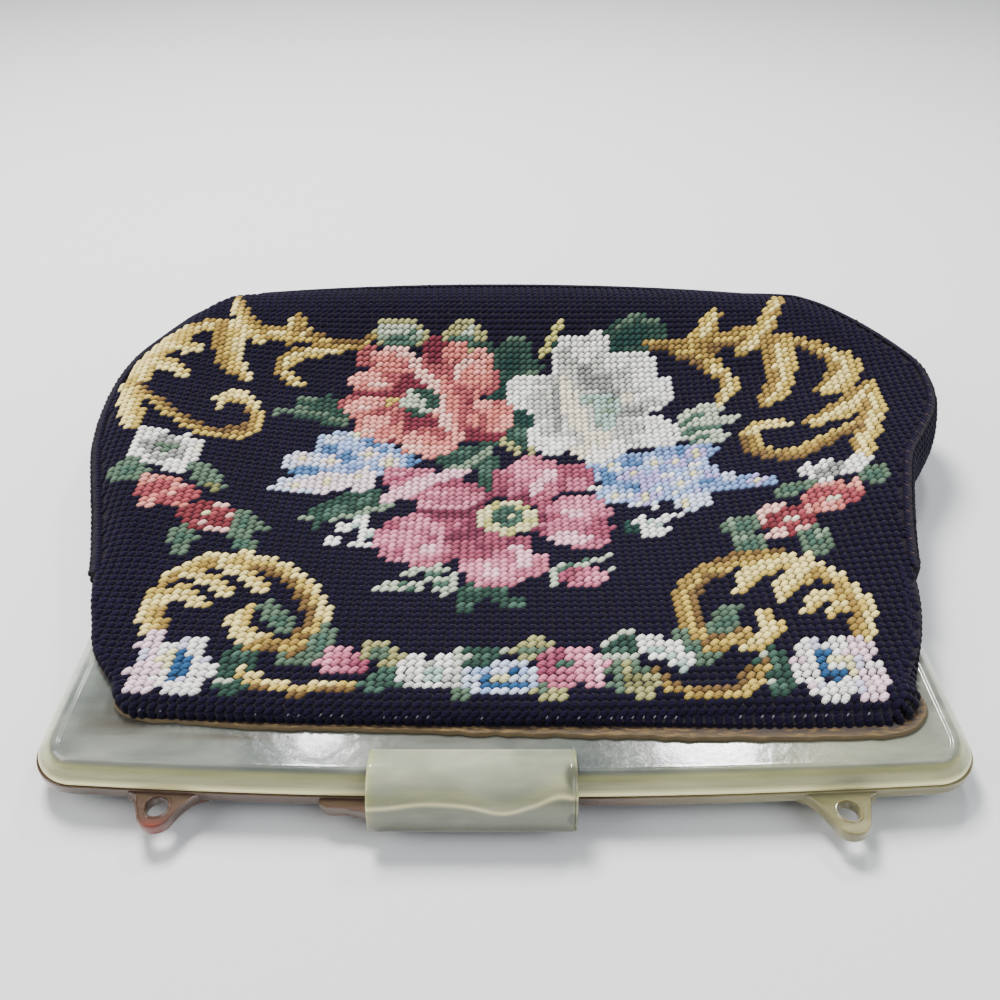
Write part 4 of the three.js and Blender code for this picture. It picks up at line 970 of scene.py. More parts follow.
def cast_celluloid():
    """Pearl-filled celluloid, cast and polished: milky depth, a tight gloss, and cream where it is
    thin or aged."""
    look = bpy.context.scene.handbag_celluloid
    material, tree, shader = new_material(
        "cast_pearl_celluloid", Roughness=0.2, IOR=1.5, Subsurface_Weight=0.25, Subsurface_Scale=0.004,
        Subsurface_Radius=(1.0, 0.8, 0.5), Coat_Weight=0.35, Coat_Roughness=0.06)
    where = node(tree, "TexCoord").outputs["Object"]
    pale, cream, rim, dark, stain = (
        node(tree, "Attribute", attribute_name=name).outputs["Fac"]
        for name in ("pale", "cream", "rim", "dark", "stain")
    )
    # Clouds in the sheet are drawn out along the casting, about 30 mm long.
    drawn = node(tree, "Mapping", {"Vector": where, "Scale": (0.45, 1, 1)})
    clouds = node(
        tree, "TexNoise",
        {"Vector": drawn, "Scale": 1 / (14 * MM), "Detail": 5, "Roughness": 0.55, "Distortion": 0.6}
    )
    pearl = node(
        tree, "ValToRGB", {"Fac": clouds},
        stops=[(0.32, "#4a504e"), (0.5, "#60655f"), (0.68, "#7b7e75")]
    )
    # The pale attribute lightens the pearl; on the cover it falls towards the bottom as painted shade.
    lighter = node(tree, "MapRange", {"Value": pale, "To Min": 1.0, "To Max": 1.75})
    pearl_lightened = node(tree, "HueSaturation", {"Color": pearl, "Value": lighter})
    streaks = node(
        tree, "TexNoise",
        {
            "Vector": node(tree, "Mapping", {"Vector": where, "Scale": (0.12, 1, 1)}),
            "Scale": 1 / (3 * MM), "Detail": 4
        }
    )
    aged = node(tree, "ValToRGB", {"Fac": streaks}, stops=[(0.3, look.aged_hex), (0.7, look.cream_hex)])
    tinted = node(tree, "Mix", {"Factor": cream, "A": pearl_lightened, "B": aged}, data_type="RGBA")
    # Painted highlight: the rim attribute lightens the rim's land, and the cover's seam line, to the pale rim tint.
    lit = node(tree, "Mix", {"Factor": rim, "A": tinted, "B": look.rim_highlight_hex}, data_type="RGBA")
    # The dark attribute holds real smudges and marks, a darkening towards the hem, and painted shade on the cover's
    # lower part.
    smudge_and_shade = node(tree, "Math", {0: dark, 1: 0.75}, operation="MULTIPLY")
    smudged_and_shaded = node(tree, "Mix", {"Factor": smudge_and_shade, "A": lit, "B": "#35322f"}, data_type="RGBA")
    spread = node(
        tree, "Math",
        {
            0: stain,
            1: node(
                tree, "MapRange", {"Value": streaks, "From Min": 0.35, "From Max": 0.65}
            )
        },
        operation="MULTIPLY"
    )
    stained = node(tree, "Mix", {"Factor": spread, "A": smudged_and_shaded, "B": "#453e33"}, data_type="RGBA")
    feed(tree, shader.inputs["Base Color"], stained)
    fine = node(tree, "TexNoise", {"Vector": where, "Scale": 1 / (0.7 * MM), "Detail": 3})
    slow = node(tree, "TexNoise", {"Vector": where, "Scale": 1 / (3.2 * MM), "Detail": 2})
    rub = node(
        tree, "MapRange",
        {"Value": fine, "From Min": 0.3, "From Max": 0.7, "To Min": 0.1, "To Max": 0.22}
    )
    feed(tree, shader.inputs["Roughness"], rub)
    hollow = node(tree, "Bump", {"Height": slow, "Strength": 0.3, "Distance": 0.2 * MM})
    scratch = node(tree, "Bump", {"Height": fine, "Strength": 0.3, "Distance": 0.02 * MM, "Normal": hollow})
    feed(tree, shader.inputs["Normal"], scratch)
    return material


def mauve_celluloid():
    """The back half's sheet: browner and clearer, so it darkens at its edges and reddens where it
    is thickest."""
    material, tree, shader = new_material(
        "moulded_mauve_celluloid", Roughness=0.18, IOR=1.5, Subsurface_Weight=0.3, Subsurface_Scale=0.003,
        Subsurface_Radius=(1.0, 0.5, 0.4), Coat_Weight=0.4, Coat_Roughness=0.05)
    where = node(tree, "TexCoord").outputs["Object"]
    drawn = node(tree, "Mapping", {"Vector": where, "Scale": (0.3, 1, 1)})
    clouds = node(tree, "TexNoise", {"Vector": drawn, "Scale": 1 / (8 * MM), "Detail": 5, "Distortion": 0.8})
    mauve = node(
        tree, "ValToRGB", {"Fac": clouds},
        stops=[(0.3, "#33211f"), (0.55, "#4c3430"), (0.75, "#644a44")]
    )
    cream = node(
        tree, "ValToRGB", {"Fac": clouds},
        stops=[(0.3, "#64603f"), (0.55, "#807b58"), (0.75, "#969170")]
    )
    mask = node(tree, "Attribute", attribute_name="cream").outputs["Fac"]
    mixed = node(tree, "Mix", {"Factor": mask, "A": mauve, "B": cream}, data_type="RGBA")
    red = node(tree, "Attribute", attribute_name="red").outputs["Fac"]
    tipped = node(tree, "Mix", {"Factor": red, "A": mixed, "B": "#7d2f2a"}, data_type="RGBA")
    feed(tree, shader.inputs["Base Color"], tipped)
    slow = node(tree, "TexNoise", {"Vector": where, "Scale": 1 / (4 * MM), "Detail": 3})
    hollow = node(tree, "Bump", {"Height": slow, "Strength": 0.3, "Distance": 0.2 * MM})
    feed(tree, shader.inputs["Normal"], hollow)
    return material


def tapestry_wool():
    """Two-ply tapestry wool, laid in tent stitch: soft, fuzzy, with the ply's twist across each
    stitch."""
    material, tree, shader = new_material(
        "tapestry_wool", Roughness=0.9, Sheen_Weight=0.06, Sheen_Roughness=0.5, Specular_IOR_Level=0.12)
    wool = node(tree, "VertexColor", layer_name="wool")
    where = node(tree, "TexCoord").outputs["Object"]
    fuzz = node(tree, "TexNoise", {"Vector": where, "Scale": 1 / (0.35 * MM), "Detail": 3})
    worn = node(tree, "TexNoise", {"Vector": where, "Scale": 1 / (28 * MM), "Detail": 2})
    ply = node(tree, "UVMap", uv_map="ply")
    # The twist shows three or four turns to a stitch.
    twist = node(
        tree, "TexWave", {"Vector": ply, "Scale": 0.45, "Distortion": 1.2, "Detail": 1},
        bands_direction="DIAGONAL"
    )
    # Painted shade and highlight: the wool is darkened in the ply's grooves and a little lightened on its crests.
    ply_painted_shade = node(tree, "MapRange", {"Value": twist.outputs["Fac"], "To Min": 0.74, "To Max": 1.1})
    dust = node(
        tree, "MapRange",
        {"Value": fuzz, "From Min": 0.3, "From Max": 0.7, "To Min": 0.78, "To Max": 1.18}
    )
    fade = node(
        tree, "MapRange",
        {"Value": worn, "From Min": 0.3, "From Max": 0.7, "To Min": 0.95, "To Max": 1.05}
    )
    # The fuzz's tone, times the painted shade of the ply.
    spun = node(tree, "Math", {0: dust, 1: ply_painted_shade}, operation="MULTIPLY")
    both = node(tree, "Math", {0: spun, 1: fade}, operation="MULTIPLY")
    shaded = node(tree, "HueSaturation", {"Color": wool, "Saturation": 1.0, "Value": both})
    feed(tree, shader.inputs["Base Color"], shaded)
    turn = node(tree, "Bump", {"Height": twist.outputs["Fac"], "Strength": 0.5, "Distance": 0.12 * MM})
    nap = node(tree, "Bump", {"Height": fuzz, "Strength": 0.7, "Distance": 0.12 * MM, "Normal": turn})
    feed(tree, shader.inputs["Normal"], nap)
    return material


def cotton_canvas():
    """Woven cotton canvas, coloured almost black as painted shade from the wool over it: hardly seen between the
    stitches.
    """
    pitch = bpy.context.scene.handbag_needlepoint.pitch
    material, tree, shader = new_material("cotton_canvas", Roughness=0.95)
    where = node(tree, "TexCoord").outputs["Object"]
    threads = [
        node(
            tree, "TexWave", {"Vector": where, "Scale": 0.314 / pitch, "Distortion": 0.5, "Detail": 1},
            bands_direction=way
        )
        for way in ("X", "Y")
    ]
    weave = node(tree, "Math", {0: threads[0].outputs["Fac"], 1: threads[1].outputs["Fac"]}, operation="MAXIMUM")
    tone = node(tree, "ValToRGB", {"Fac": weave}, stops=[(0.0, "#0e0c11"), (1.0, "#1f1a22")])
    feed(tree, shader.inputs["Base Color"], tone)
    bump = node(tree, "Bump", {"Height": weave, "Strength": 0.6, "Distance": 0.3 * MM})
    feed(tree, shader.inputs["Normal"], bump)
    return material


def glued_tape():
    """Woven tape soaked with brown glue: streaked along its length, matt, with a paler raised edge."""
    material, tree, shader = new_material("glue_soaked_tape", Roughness=0.6)
    where = node(tree, "TexCoord").outputs["Object"]
    drawn = node(tree, "Mapping", {"Vector": where, "Scale": (0.25, 1, 1)})
    streaks = node(tree, "TexNoise", {"Vector": drawn, "Scale": 1 / (0.9 * MM), "Detail": 5, "Roughness": 0.65})
    tone = node(
        tree, "ValToRGB", {"Fac": streaks},
        stops=[(0.35, "#170f0b"), (0.5, "#3b2d20"), (0.66, "#6f5a38")]
    )
    edge = node(tree, "Attribute", attribute_name="edge").outputs["Fac"]
    pale = node(tree, "Mix", {"Factor": edge, "A": tone, "B": "#6b5a3c"}, data_type="RGBA")
    dark = node(tree, "Attribute", attribute_name="shade").outputs["Fac"]
    under = node(tree, "Mix", {"Factor": dark, "A": pale, "B": "#1c120f"}, data_type="RGBA")
    feed(tree, shader.inputs["Base Color"], under)
    shine = node(
        tree, "MapRange",
        {"Value": streaks, "From Min": 0.3, "From Max": 0.7, "To Min": 0.4, "To Max": 0.75}
    )
    feed(tree, shader.inputs["Roughness"], shine)
    bump = node(tree, "Bump", {"Height": streaks, "Strength": 0.5, "Distance": 0.3 * MM})
    feed(tree, shader.inputs["Normal"], bump)
    return material


def drawn_steel():
    """Drawn steel wire: fine rings from the die, and a dull shine."""
    material, tree, shader = new_material("drawn_steel", Metallic=1.0, Roughness=0.35)
    where = node(tree, "TexCoord").outputs["Object"]
    drawn = node(tree, "Mapping", {"Vector": where, "Scale": (0.05, 1, 1)})
    lines = node(tree, "TexNoise", {"Vector": drawn, "Scale": 1 / (0.3 * MM), "Detail": 3})
    tone = node(tree, "ValToRGB", {"Fac": lines}, stops=[(0.3, "#8b8985"), (0.7, "#b9b7b2")])
    feed(tree, shader.inputs["Base Color"], tone)
    return material


def cotton_thread(name, colour):
    """Spun cotton sewing thread, with a faint twist."""
    material, tree, shader = new_material(name, Roughness=0.7, Sheen_Weight=0.2)
    where = node(tree, "TexCoord").outputs["Object"]
    spun = node(tree, "TexNoise", {"Vector": where, "Scale": 1 / (0.2 * MM), "Detail": 2})
    tone = node(tree, "MapRange", {"Value": spun, "To Min": 0.75, "To Max": 1.2})
    shaded = node(tree, "HueSaturation", {"Color": colour, "Value": tone})
    feed(tree, shader.inputs["Base Color"], shaded)
    return material


def once(build, *values):
    """A material that several pieces share."""
    key = "_".join([build.__name__, *map(str, values)])
    kept = MATERIALS.get(key)
    if kept is None:
        kept = MATERIALS[key] = build(*values)
    return kept


MATERIALS = {}


# The frame's shape


def rim_along(x):
    return FRAME_BOW * (x / FRAME_HALF) ** 2


def rim_inset(x, y):
    """How far in from the rim a place is."""
    corner = rim_along(FRAME_HALF - RIM_CORNER) + RIM_CORNER
    side = np.abs(x) - (FRAME_HALF - RIM_CORNER)
    round_corner = RIM_CORNER - np.hypot(side, corner - y)
    return np.where(side > 0, np.where(y < corner, round_corner, RIM_CORNER - side), y - rim_along(x))


def frame_stations():
    """Rim points, the way in from each, and inner points, from the left arm's end to the right's."""
    corner = rim_along(FRAME_HALF - RIM_CORNER) + RIM_CORNER
    inner_corner = rim_along(FRAME_HALF - BAR_WIDTH) + BAR_WIDTH + INNER_CORNER
    left = [
        ((-FRAME_HALF, y), (1, 0), (-FRAME_HALF + BAR_WIDTH, y))
        for y in np.linspace(ARM_REACH, inner_corner + GAP, 8)
    ]
    for angle in np.linspace(180, 270, 22):
        c, s = turned(angle)
        left.append((
            (-FRAME_HALF + RIM_CORNER * (1 + c), corner + RIM_CORNER * s),
            (-c, -s),
            (-FRAME_HALF + BAR_WIDTH + INNER_CORNER * (1 + c), inner_corner + INNER_CORNER * s),
        ))
    reach, inner_reach = FRAME_HALF - RIM_CORNER, FRAME_HALF - BAR_WIDTH - INNER_CORNER
    bar = [
        ((u * reach, rim_along(u * reach)), (0, 1), (u * inner_reach, rim_along(u * inner_reach) + BAR_WIDTH))
        for u in np.linspace(-1, 1, 66)[1:-1]
    ]
    right = [((-a[0], a[1]), (-b[0], b[1]), (-c[0], c[1])) for a, b, c in reversed(left)]
    return [np.array(column) for column in zip(*(left + bar + right))]


def frame_bar(name, land, step, direction):
    """One half of the frame: upright rim, bevel, a slight ridge, a flat face and the inner edge."""
    rim, inward, inner = frame_stations()
    share = np.linspace(0, 1, 12)[1:-1]
    bevel = [
        (-step + (BEVEL_WIDTH + step) * a, land + (HALF_DEPTH - land) * (1 - (1 - a) ** BEVEL_FULLNESS))
        for a in share
    ]
    outside = rounded([(-step + 0.3 * MM, GAP / 2), (-step, GAP / 2), (-step, land), *bevel[1:]], 0.35 * MM)
    ridge = rounded([
        bevel[-1], (BEVEL_WIDTH, HALF_DEPTH), (BEVEL_WIDTH + RIDGE_TOP, HALF_DEPTH),
        (BEVEL_WIDTH + RIDGE_FOOT, HALF_DEPTH - RIDGE), (BEVEL_WIDTH + FACE_FROM, HALF_DEPTH - RIDGE)], 0.4 * MM)[1:]
    inner_edge = rounded(
        [(-3 * MM, HALF_DEPTH - RIDGE), (0, HALF_DEPTH - RIDGE), (0, GAP / 2), (-3 * MM, GAP / 2)], 0.8 * MM
    )
    loops = []
    narrow = (BEVEL_BAR + (1 - BEVEL_BAR) * np.abs(inward[:, :1]) ** 1.5)[:, None]
    for section, base, share in ((np.vstack([outside, ridge]), rim, narrow), (inner_edge, inner, 1)):
        plan = base[:, None, :] + inward[:, None, :] * section[None, :, :1] * share
        height = np.broadcast_to(PARTING + direction * section[None, :, 1:], (*plan.shape[:2], 1))
        loops.append(np.concatenate([plan, height], -1))
    # Steps across the flat face carry its stains.
    start, end = loops[0][:, -1:], loops[1][:, :1]
    loops.insert(1, start + (end - start) * np.linspace(0, 1, 12)[None, 1:-1, None])
    return loft(name, np.concatenate(loops, 1))


def fit_hinges(piece, own, other):
    """Cuts the arms' ends clear of the other half's lugs and adds this half's own."""
    for side in (-1, 1):
        for inset, radius, spare, operation in (
            (other, HINGE_LUG_RADIUS + GAP, GAP, "DIFFERENCE"), (own, HINGE_LUG_RADIUS, 0, "UNION")
        ):
            ends = sorted(
                (side * (FRAME_HALF - inset + spare), side * (FRAME_HALF - inset - HINGE_LUG_WIDTH - spare))
            )
            combine(piece, bar_along_x("lug", radius, *ends, ARM_REACH, PARTING), operation)


FRONT_LUG = HINGE_INSET
BACK_LUG = HINGE_INSET + HINGE_LUG_WIDTH + GAP


def ear_outline(ear):
    """An ear's edge, from its steep side's root round the tip to the sloping side's root."""
    centre = ear.reach - EAR_TIP_RADIUS
    shoulder = EAR_SHOULDER * EAR_ROOT_OUTER
    t = np.linspace(0, 1, 9)[:, None]

    def bend(a, b, c):
        a, b, c = (np.array(p) for p in (a, b, c))
        return (1 - t) ** 2 * a + 2 * t * (1 - t) * b + t**2 * c

    angles = np.radians(np.linspace(EAR_TIP_FROM, EAR_TIP_TO, 22))
    tip = np.stack([EAR_TIP_RADIUS * np.cos(angles), centre + EAR_TIP_RADIUS * np.sin(angles)], -1)
    root = -BACK_LAND
    return np.vstack([
        [(-EAR_ROOT_OUTER, root)],
        bend((-EAR_ROOT_OUTER, 0), (-shoulder, 0), (-shoulder, EAR_SHOULDER_OUT * ear.reach)),
        tip,
        bend(tip[-1], (EAR_SLOPE * EAR_ROOT_INNER, 0), (EAR_ROOT_INNER, 0)),
        [(EAR_ROOT_INNER, root)],
        [(EAR_ROOT_INNER / 2, root), (0, root), (-EAR_ROOT_OUTER / 2, root)],
    ])


def build_ear(ear):
    """A plate with a raised edge and a raised ring round its hole."""
    edge = ear_outline(ear)
    hole = np.array([0, ear.hole])
    out = unit(edge - hole)
    loops = []
    for inset, height in EAR_EDGE_PROFILE:
        loops.append((edge - out * inset * MM, height * MM))
    for spare, height in EAR_HOLE_PROFILE:
        loops.append((hole + out * (EAR_HOLE_RADIUS + spare * MM), height * MM))
    for spare, height in EAR_HOLE_PROFILE[::-1][:4]:
        loops.append((hole + out * (EAR_HOLE_RADIUS + spare * MM), -EAR_THICK - height * MM))
    for inset, height in EAR_EDGE_PROFILE[:3][::-1]:
        loops.append((edge - out * inset * MM, -EAR_THICK - height * MM))
    points = []
    for plan, height in loops:
        x = ear.side * (ear.across - plan[:, 0])
        y = rim_along(ear.across) - plan[:, 1]
        points.append(np.stack([x, y, np.full(len(plan), EAR_TOP + height)], -1))
    piece = loft("ear", [*points, points[0]], capped=False)
    face_out(piece, 0.001 * MM)
    return piece


WEB_PLACES = (COVER_LEFT + WEB_INSET, COVER_RIGHT - WEB_INSET - WEB_THICK)


def clasp_lug():
    """The lug that the cover turns on: a slope at the left, then a straight knuckle with slots."""
    left, under, right = COVER_LEFT - LUG_LEAD, COVER_LEFT + LUG_TUCK, COVER_RIGHT - LUG_SHORT
    third = LUG_LEAD / 3
    t = np.linspace(0, 1, 14)[:, None]
    step = (1 - t) ** 2 * [left, 0] + 2 * t * (1 - t) * np.array([left, -LUG_STEP]) + t**2 * [left + third, -LUG_STEP]
    slope = (
        (1 - t) ** 3 * [left + third, -LUG_STEP] + 3 * t * (1 - t) ** 2 * np.array([left + 2 * third, -LUG_STEP])
        + 3 * t**2 * (1 - t) * np.array([left + 2 * third, -PIN_OUT]) + t**3 * [under, -PIN_OUT - KNUCKLE_RADIUS / 2]
    )
    plan = np.vstack(
        [[(left, BACK_LAND)], step, slope[1:], [(under, -PIN_OUT), (right, -PIN_OUT), (right, BACK_LAND)]]
    )
    middle = plan.mean(0)
    edge = 0.35 * MM
    low, high = PIN_UP - LUG_UNDER, PIN_UP + KNUCKLE_RADIUS
    loops = []
    for z, shrink in ((low, edge), (low + edge, 0), (high - edge, 0), (high, edge)):
        inset = plan - unit(plan - middle) * shrink
        loops.append(np.concatenate([inset, np.full((len(plan), 1), z)], -1))
    lug = loft("lug_plate", loops)
    combine(lug, bar_along_x("knuckle", KNUCKLE_RADIUS, under, right, -PIN_OUT, PIN_UP), "UNION")
    depth = PIN_OUT + 2 * KNUCKLE_RADIUS
    for x in WEB_PLACES:
        slot = np.array([x - GAP, x + WEB_THICK + GAP])
        y = (-BACK_STEP - depth, -BACK_STEP)
        z = (PIN_UP - 2 * KNUCKLE_RADIUS, PIN_UP + 2 * KNUCKLE_RADIUS)
        ring = [(y[0], z[0]), (y[1], z[0]), (y[1], z[1]), (y[0], z[1])]
        combine(lug, loft("slot", [[(x_end, *point) for point in ring] for x_end in slot]), "DIFFERENCE")
    return lug


def stain_mask(points, spots):
    """How strongly each point is stained, from named spots of (x, y, size across, size along)."""
    found = np.zeros(len(points))
    for x, y, across, along in spots:
        distance = np.hypot((points[:, 0] - x) / across, (points[:, 1] - y) / along)
        found = np.maximum(found, np.exp(-(distance**2)))
    return found


# Dark marks on the frame's face, in millimetres: x, y, size across and along.
FACE_STAINS = [
    (-97, 18, 9, 4), (-104, 30, 8, 2), (-62, 13.5, 22, 1.2), (101, 27, 8, 4), (106, 38, 6, 7),
    (60, 13, 30, 1.4), (-30, 13, 40, 1.2), (84, 2.6, 5, 1.4)
]
FACE_SMUDGES = [(-92, 17, 6, 3.4), (-100, 24, 3, 6), (97, 24, 4, 4), (102, 30, 5, 2)]


# The clasp cover's shape


def cover_inside(lower_angle):
    """The inside of the cover's wall as y and z, from its lower edge to the lip on the face."""
    shell = KNUCKLE_RADIUS + GAP
    arc = np.radians(np.linspace(lower_angle, 180, 12))
    points = [(-PIN_OUT + shell * math.cos(a), PIN_UP + shell * math.sin(a)) for a in arc]
    across = COVER_SHOULDER + PIN_OUT + shell
    crest = FACE + GAP + COVER_CROWN
    power = 2 / COVER_FULLNESS
    for a in np.radians(np.linspace(0, 90, 50)[1:]):
        points.append(
            (COVER_SHOULDER - across * abs(math.cos(a)) ** power, PIN_UP + (crest - PIN_UP) * math.sin(a) ** power)
        )
    for u in np.linspace(0, 1, 9)[1:]:
        points.append((COVER_SHOULDER + (COVER_LIP - COVER_SHOULDER) * u, crest - COVER_CROWN * u**COVER_LIP_CURVE))
    return np.array(points)


def offset_line(points, distance):
    way = unit(np.gradient(points, axis=0))
    return points + np.stack([-way[:, 1], way[:, 0]], -1) * distance


def cover_loop(x, lower_angle, thinned):
    """The cover's section at x, thinned on both sides by that much and closed round its two edges."""
    inside = cover_inside(lower_angle)
    near, far = offset_line(inside, thinned), offset_line(inside, COVER_WALL - thinned)
    for line in (near, far):
        line[0] += unit(line[1] - line[0]) * thinned
        line[-1] += unit(line[-2] - line[-1]) * thinned
    tips = []
    for k in (-1, 0):
        middle = (near[k] + far[k]) / 2
        out = unit(inside[k] - inside[k + 1 if k == 0 else k - 1])
        tips.append(middle + out * 0.35 * COVER_WALL)
    ring = np.vstack([near, tips[:1], far[::-1], tips[1:]])
    return np.column_stack([np.full(len(ring), x), ring])


def cover_angle(x):
    left = smoothstep(x, COVER_LEFT, COVER_LEFT + COVER_LEFT_CUT)
    right = smoothstep(COVER_RIGHT - x, 0, COVER_RIGHT_CUT)
    wave = 2.5 * math.sin((x - COVER_LEFT) / (9 * MM))
    return min(
        COVER_LEFT_ANGLE + (COVER_LOWER_ANGLE - COVER_LEFT_ANGLE) * left,
        COVER_RIGHT_ANGLE + (COVER_LOWER_ANGLE - COVER_RIGHT_ANGLE) * right
    ) + wave * left * right


def build_cover():
    """The cover's wall, with its two ends rounded."""
    ends = [(COVER_EDGE * (1 - math.sin(a)), COVER_EDGE * (1 - math.cos(a))) for a in np.radians(np.linspace(90, 0, 6))]
    middle = np.linspace(COVER_LEFT + COVER_EDGE, COVER_RIGHT - COVER_EDGE, 90)[1:-1]
    stations = [
        *((COVER_LEFT + inset, thinned) for inset, thinned in ends),
        *((x, 0) for x in middle),
        *((COVER_RIGHT - inset, thinned) for inset, thinned in ends),
    ]
    return loft("clasp_cover_shell", [cover_loop(x, cover_angle(x), thinned) for x, thinned in stations], 60)


def cover_webs():
    """Two webs between the cover's wall and its pin."""
    made = []
    for x in WEB_PLACES:
        wall = offset_line(cover_inside(COVER_LOWER_ANGLE), COVER_WALL / 2)[:20][::-1]
        angles = np.radians(np.linspace(COVER_LOWER_ANGLE, COVER_LOWER_ANGLE + 225, 16))
        knuckle = np.stack([-PIN_OUT + KNUCKLE_RADIUS * np.cos(angles), PIN_UP + KNUCKLE_RADIUS * np.sin(angles)], -1)
        ring = np.vstack([knuckle, wall])
        made.append(loft("web", [np.column_stack([np.full(len(ring), end), ring]) for end in (x, x + WEB_THICK)]))
    return made


# The body's shape


def column(name, along):
    """A smooth curve through one column of SECTIONS."""
    ways = np.array([row.along for row in SECTIONS])
    values = np.array([getattr(row, name) for row in SECTIONS])
    last = len(ways) - 1
    before, after = np.maximum(np.arange(last + 1) - 1, 0), np.minimum(np.arange(last + 1) + 1, last)
    slope = (values[after] - values[before]) / (ways[after] - ways[before])
    i = np.clip(np.searchsorted(ways, along, side="right") - 1, 0, last - 1)
    span = ways[i + 1] - ways[i]
    t = np.clip((along - ways[i]) / span, 0, 1)
    rise = t * t * (3 - 2 * t)
    return values[i] + (values[i + 1] - values[i]) * rise + span * t * (1 - t) * (
        (1 - t) * slope[i] - t * slope[i + 1]
    )


STRAIGHT = 1 - FAR_CORNER_ALONG / BODY_LENGTH
LAST_SHARE = STRAIGHT + (1 - STRAIGHT) * math.sin(math.radians(FAR_CORNER_TURN))


def seams(share):
    """Where the left and right seams are, at a share of the body's length."""
    near = np.clip(share * BODY_LENGTH / HEM_CORNER, 0, 1)
    far = np.clip((share - STRAIGHT) / (1 - STRAIGHT), 0, math.sin(math.radians(FAR_CORNER_TURN)))
    cut = HEM_CORNER * (1 - np.sqrt(1 - (1 - near) ** 2)) + FAR_CORNER_ACROSS * (1 - np.sqrt(1 - far**2))
    return -BODY_HALF * column("left", share) + cut, BODY_HALF * column("right", share) - cut


def clear_of_seams(share, x, pitch):
    left, right = seams(share)
    return (x > left + SEAM_MARGIN * pitch) & (x < right - SEAM_MARGIN * pitch)


def body_point(share, x):
    """(y, roll towards each seam, s) of a place; s is -1 at the left seam and 1 at the right."""
    left, right = seams(share)
    s = np.clip(2 * (x - left) / (right - left) - 1, -1, 1)
    y = HEM_INSET + share * BODY_LENGTH + rim_along(x) * (1 - share) ** 2 - FAR_BOW * s**2 * share**4
    starts = smoothstep(y, ARM_END - ROLL_WIDTH, ARM_END + 2 * ROLL_WIDTH)

    def fall(distance):
        return np.clip(1 - distance / ROLL_WIDTH, 0, 1) ** 2

    far = fall(HEM_INSET + BODY_LENGTH - FAR_BOW * s**2 - y)
    return y, (starts * fall(x - left), starts * fall(right - x), far), s


def front_point(share, x):
    """A place on the front panel's outer face."""
    y, (left, right, far), s = body_point(share, x)
    drop = np.maximum(np.maximum(LEFT_ROLL * left, RIGHT_ROLL * right), FAR_ROLL * far)
    middle, side = column("middle", share), column("side", share)
    z = HEM_TOP + BODY_RISE * (middle + (side - middle) * np.abs(s) ** SAG_POWER) - drop
    inside = share * BODY_LENGTH
    fold = HEM_PUFF * np.sin(
        np.pi * inside / HEM_PUFF_WIDTH
    ) - HEM_EDGE_DROP * np.clip(1 - inside / HEM_EDGE, 0, None)
    return np.stack([x, y, z + np.where(inside > HEM_PUFF_WIDTH, 0, fold)], -1)


def back_point(share, x):
    """A place on the back panel's outer face, which lies on the surface."""
    y, rolls, _ = body_point(share, x)
    return np.stack([x, y, BACK_ROLL * np.maximum(np.maximum(rolls[0], rolls[1]), rolls[2])], -1)


def frames_on(surface, share, x):
    """Points on a surface with the ways across, along and out."""
    small = 0.0004
    here = surface(share, x)
    across = unit(surface(share, x + small) - surface(share, x - small))
    along = surface(np.clip(share + small, 0, LAST_SHARE), x) - surface(np.clip(share - small, 0, LAST_SHARE), x)
    along = unit(along - across * (along * across).sum(-1, keepdims=True))
    return here, across, along, np.cross(across, along)


def row_shares(pitch):
    """The share of the body's length at the middle of each row of stitches."""
    share = np.linspace(0, LAST_SHARE, 2001)
    arc = along_line(front_point(share, np.zeros_like(share)))
    count = int(arc[-1] / pitch)
    return np.interp((np.arange(count) + 0.5) * pitch, arc, share)


def panel_grid(surface, rows, columns, lift):
    """A grid over a panel, from hem to far end and seam to seam, moved out by lift."""
    share = np.concatenate(
        [np.linspace(0, 0.05, 10)[:-1], np.linspace(0.05, STRAIGHT, rows), np.linspace(STRAIGHT, LAST_SHARE, 8)[1:]]
    )
    s = np.sin(np.linspace(-1, 1, columns) * math.pi / 2)
    left, right = seams(share)
    x = left[:, None] + (right - left)[:, None] * (s + 1) / 2
    grid = surface(np.broadcast_to(share[:, None], x.shape), x)
    grid[..., 2] += lift
    return grid


def gusset_line(count):
    """Places round the seams, from the left arm's end to the right's: plan, outward way, bottom,
    top and bulge."""
    share = np.linspace(0, LAST_SHARE, 400)
    sides = []
    for sign, bulge in ((0, LEFT_BULGE), (1, RIGHT_BULGE)):
        x = seams(share)[sign]
        front, back = front_point(share, x), back_point(share, x)
        kept = front[:, 1] > GUSSET_START
        swell = (bulge + (FAR_BULGE - bulge) * share**8) * smoothstep(front[:, 1], ARM_END, ARM_END + 2 * ROLL_WIDTH)
        sides.append(np.column_stack([front[:, :2], back[:, 2], front[:, 2], swell])[kept])
    left, right = seams(LAST_SHARE)
    x = np.linspace(left, right, 200)[1:-1]
    last = np.full(len(x), LAST_SHARE)
    front, back = front_point(last, x), back_point(last, x)
    far = np.column_stack([front[:, :2], back[:, 2], front[:, 2], np.full(len(x), FAR_BULGE)])
    line = np.vstack([sides[0], far, sides[1][::-1]])
    arc = along_line(line[:, :2])
    if count is None:
        return line, arc
    at = np.linspace(0, arc[-1], count)
    return resampled(line, arc, at), at


def gusset_grid(line, rows, out):
    """A grid up the gusset's outer face, moved out by that much."""
    way = unit(np.gradient(line[:, :2], axis=0))
    outward = np.stack([-way[:, 1], way[:, 0]], -1)
    share = np.linspace(0, 1, rows)
    push = GAP + CLOTH + out + line[:, 4:5] * np.sin(math.pi * share)[None, :]
    plan = line[:, None, :2] + outward[:, None, :] * push[..., None]
    height = line[:, 2:3] + (line[:, 3:4] - line[:, 2:3]) * share[None, :]
    return np.concatenate([plan, height[..., None]], -1)


# Stitches

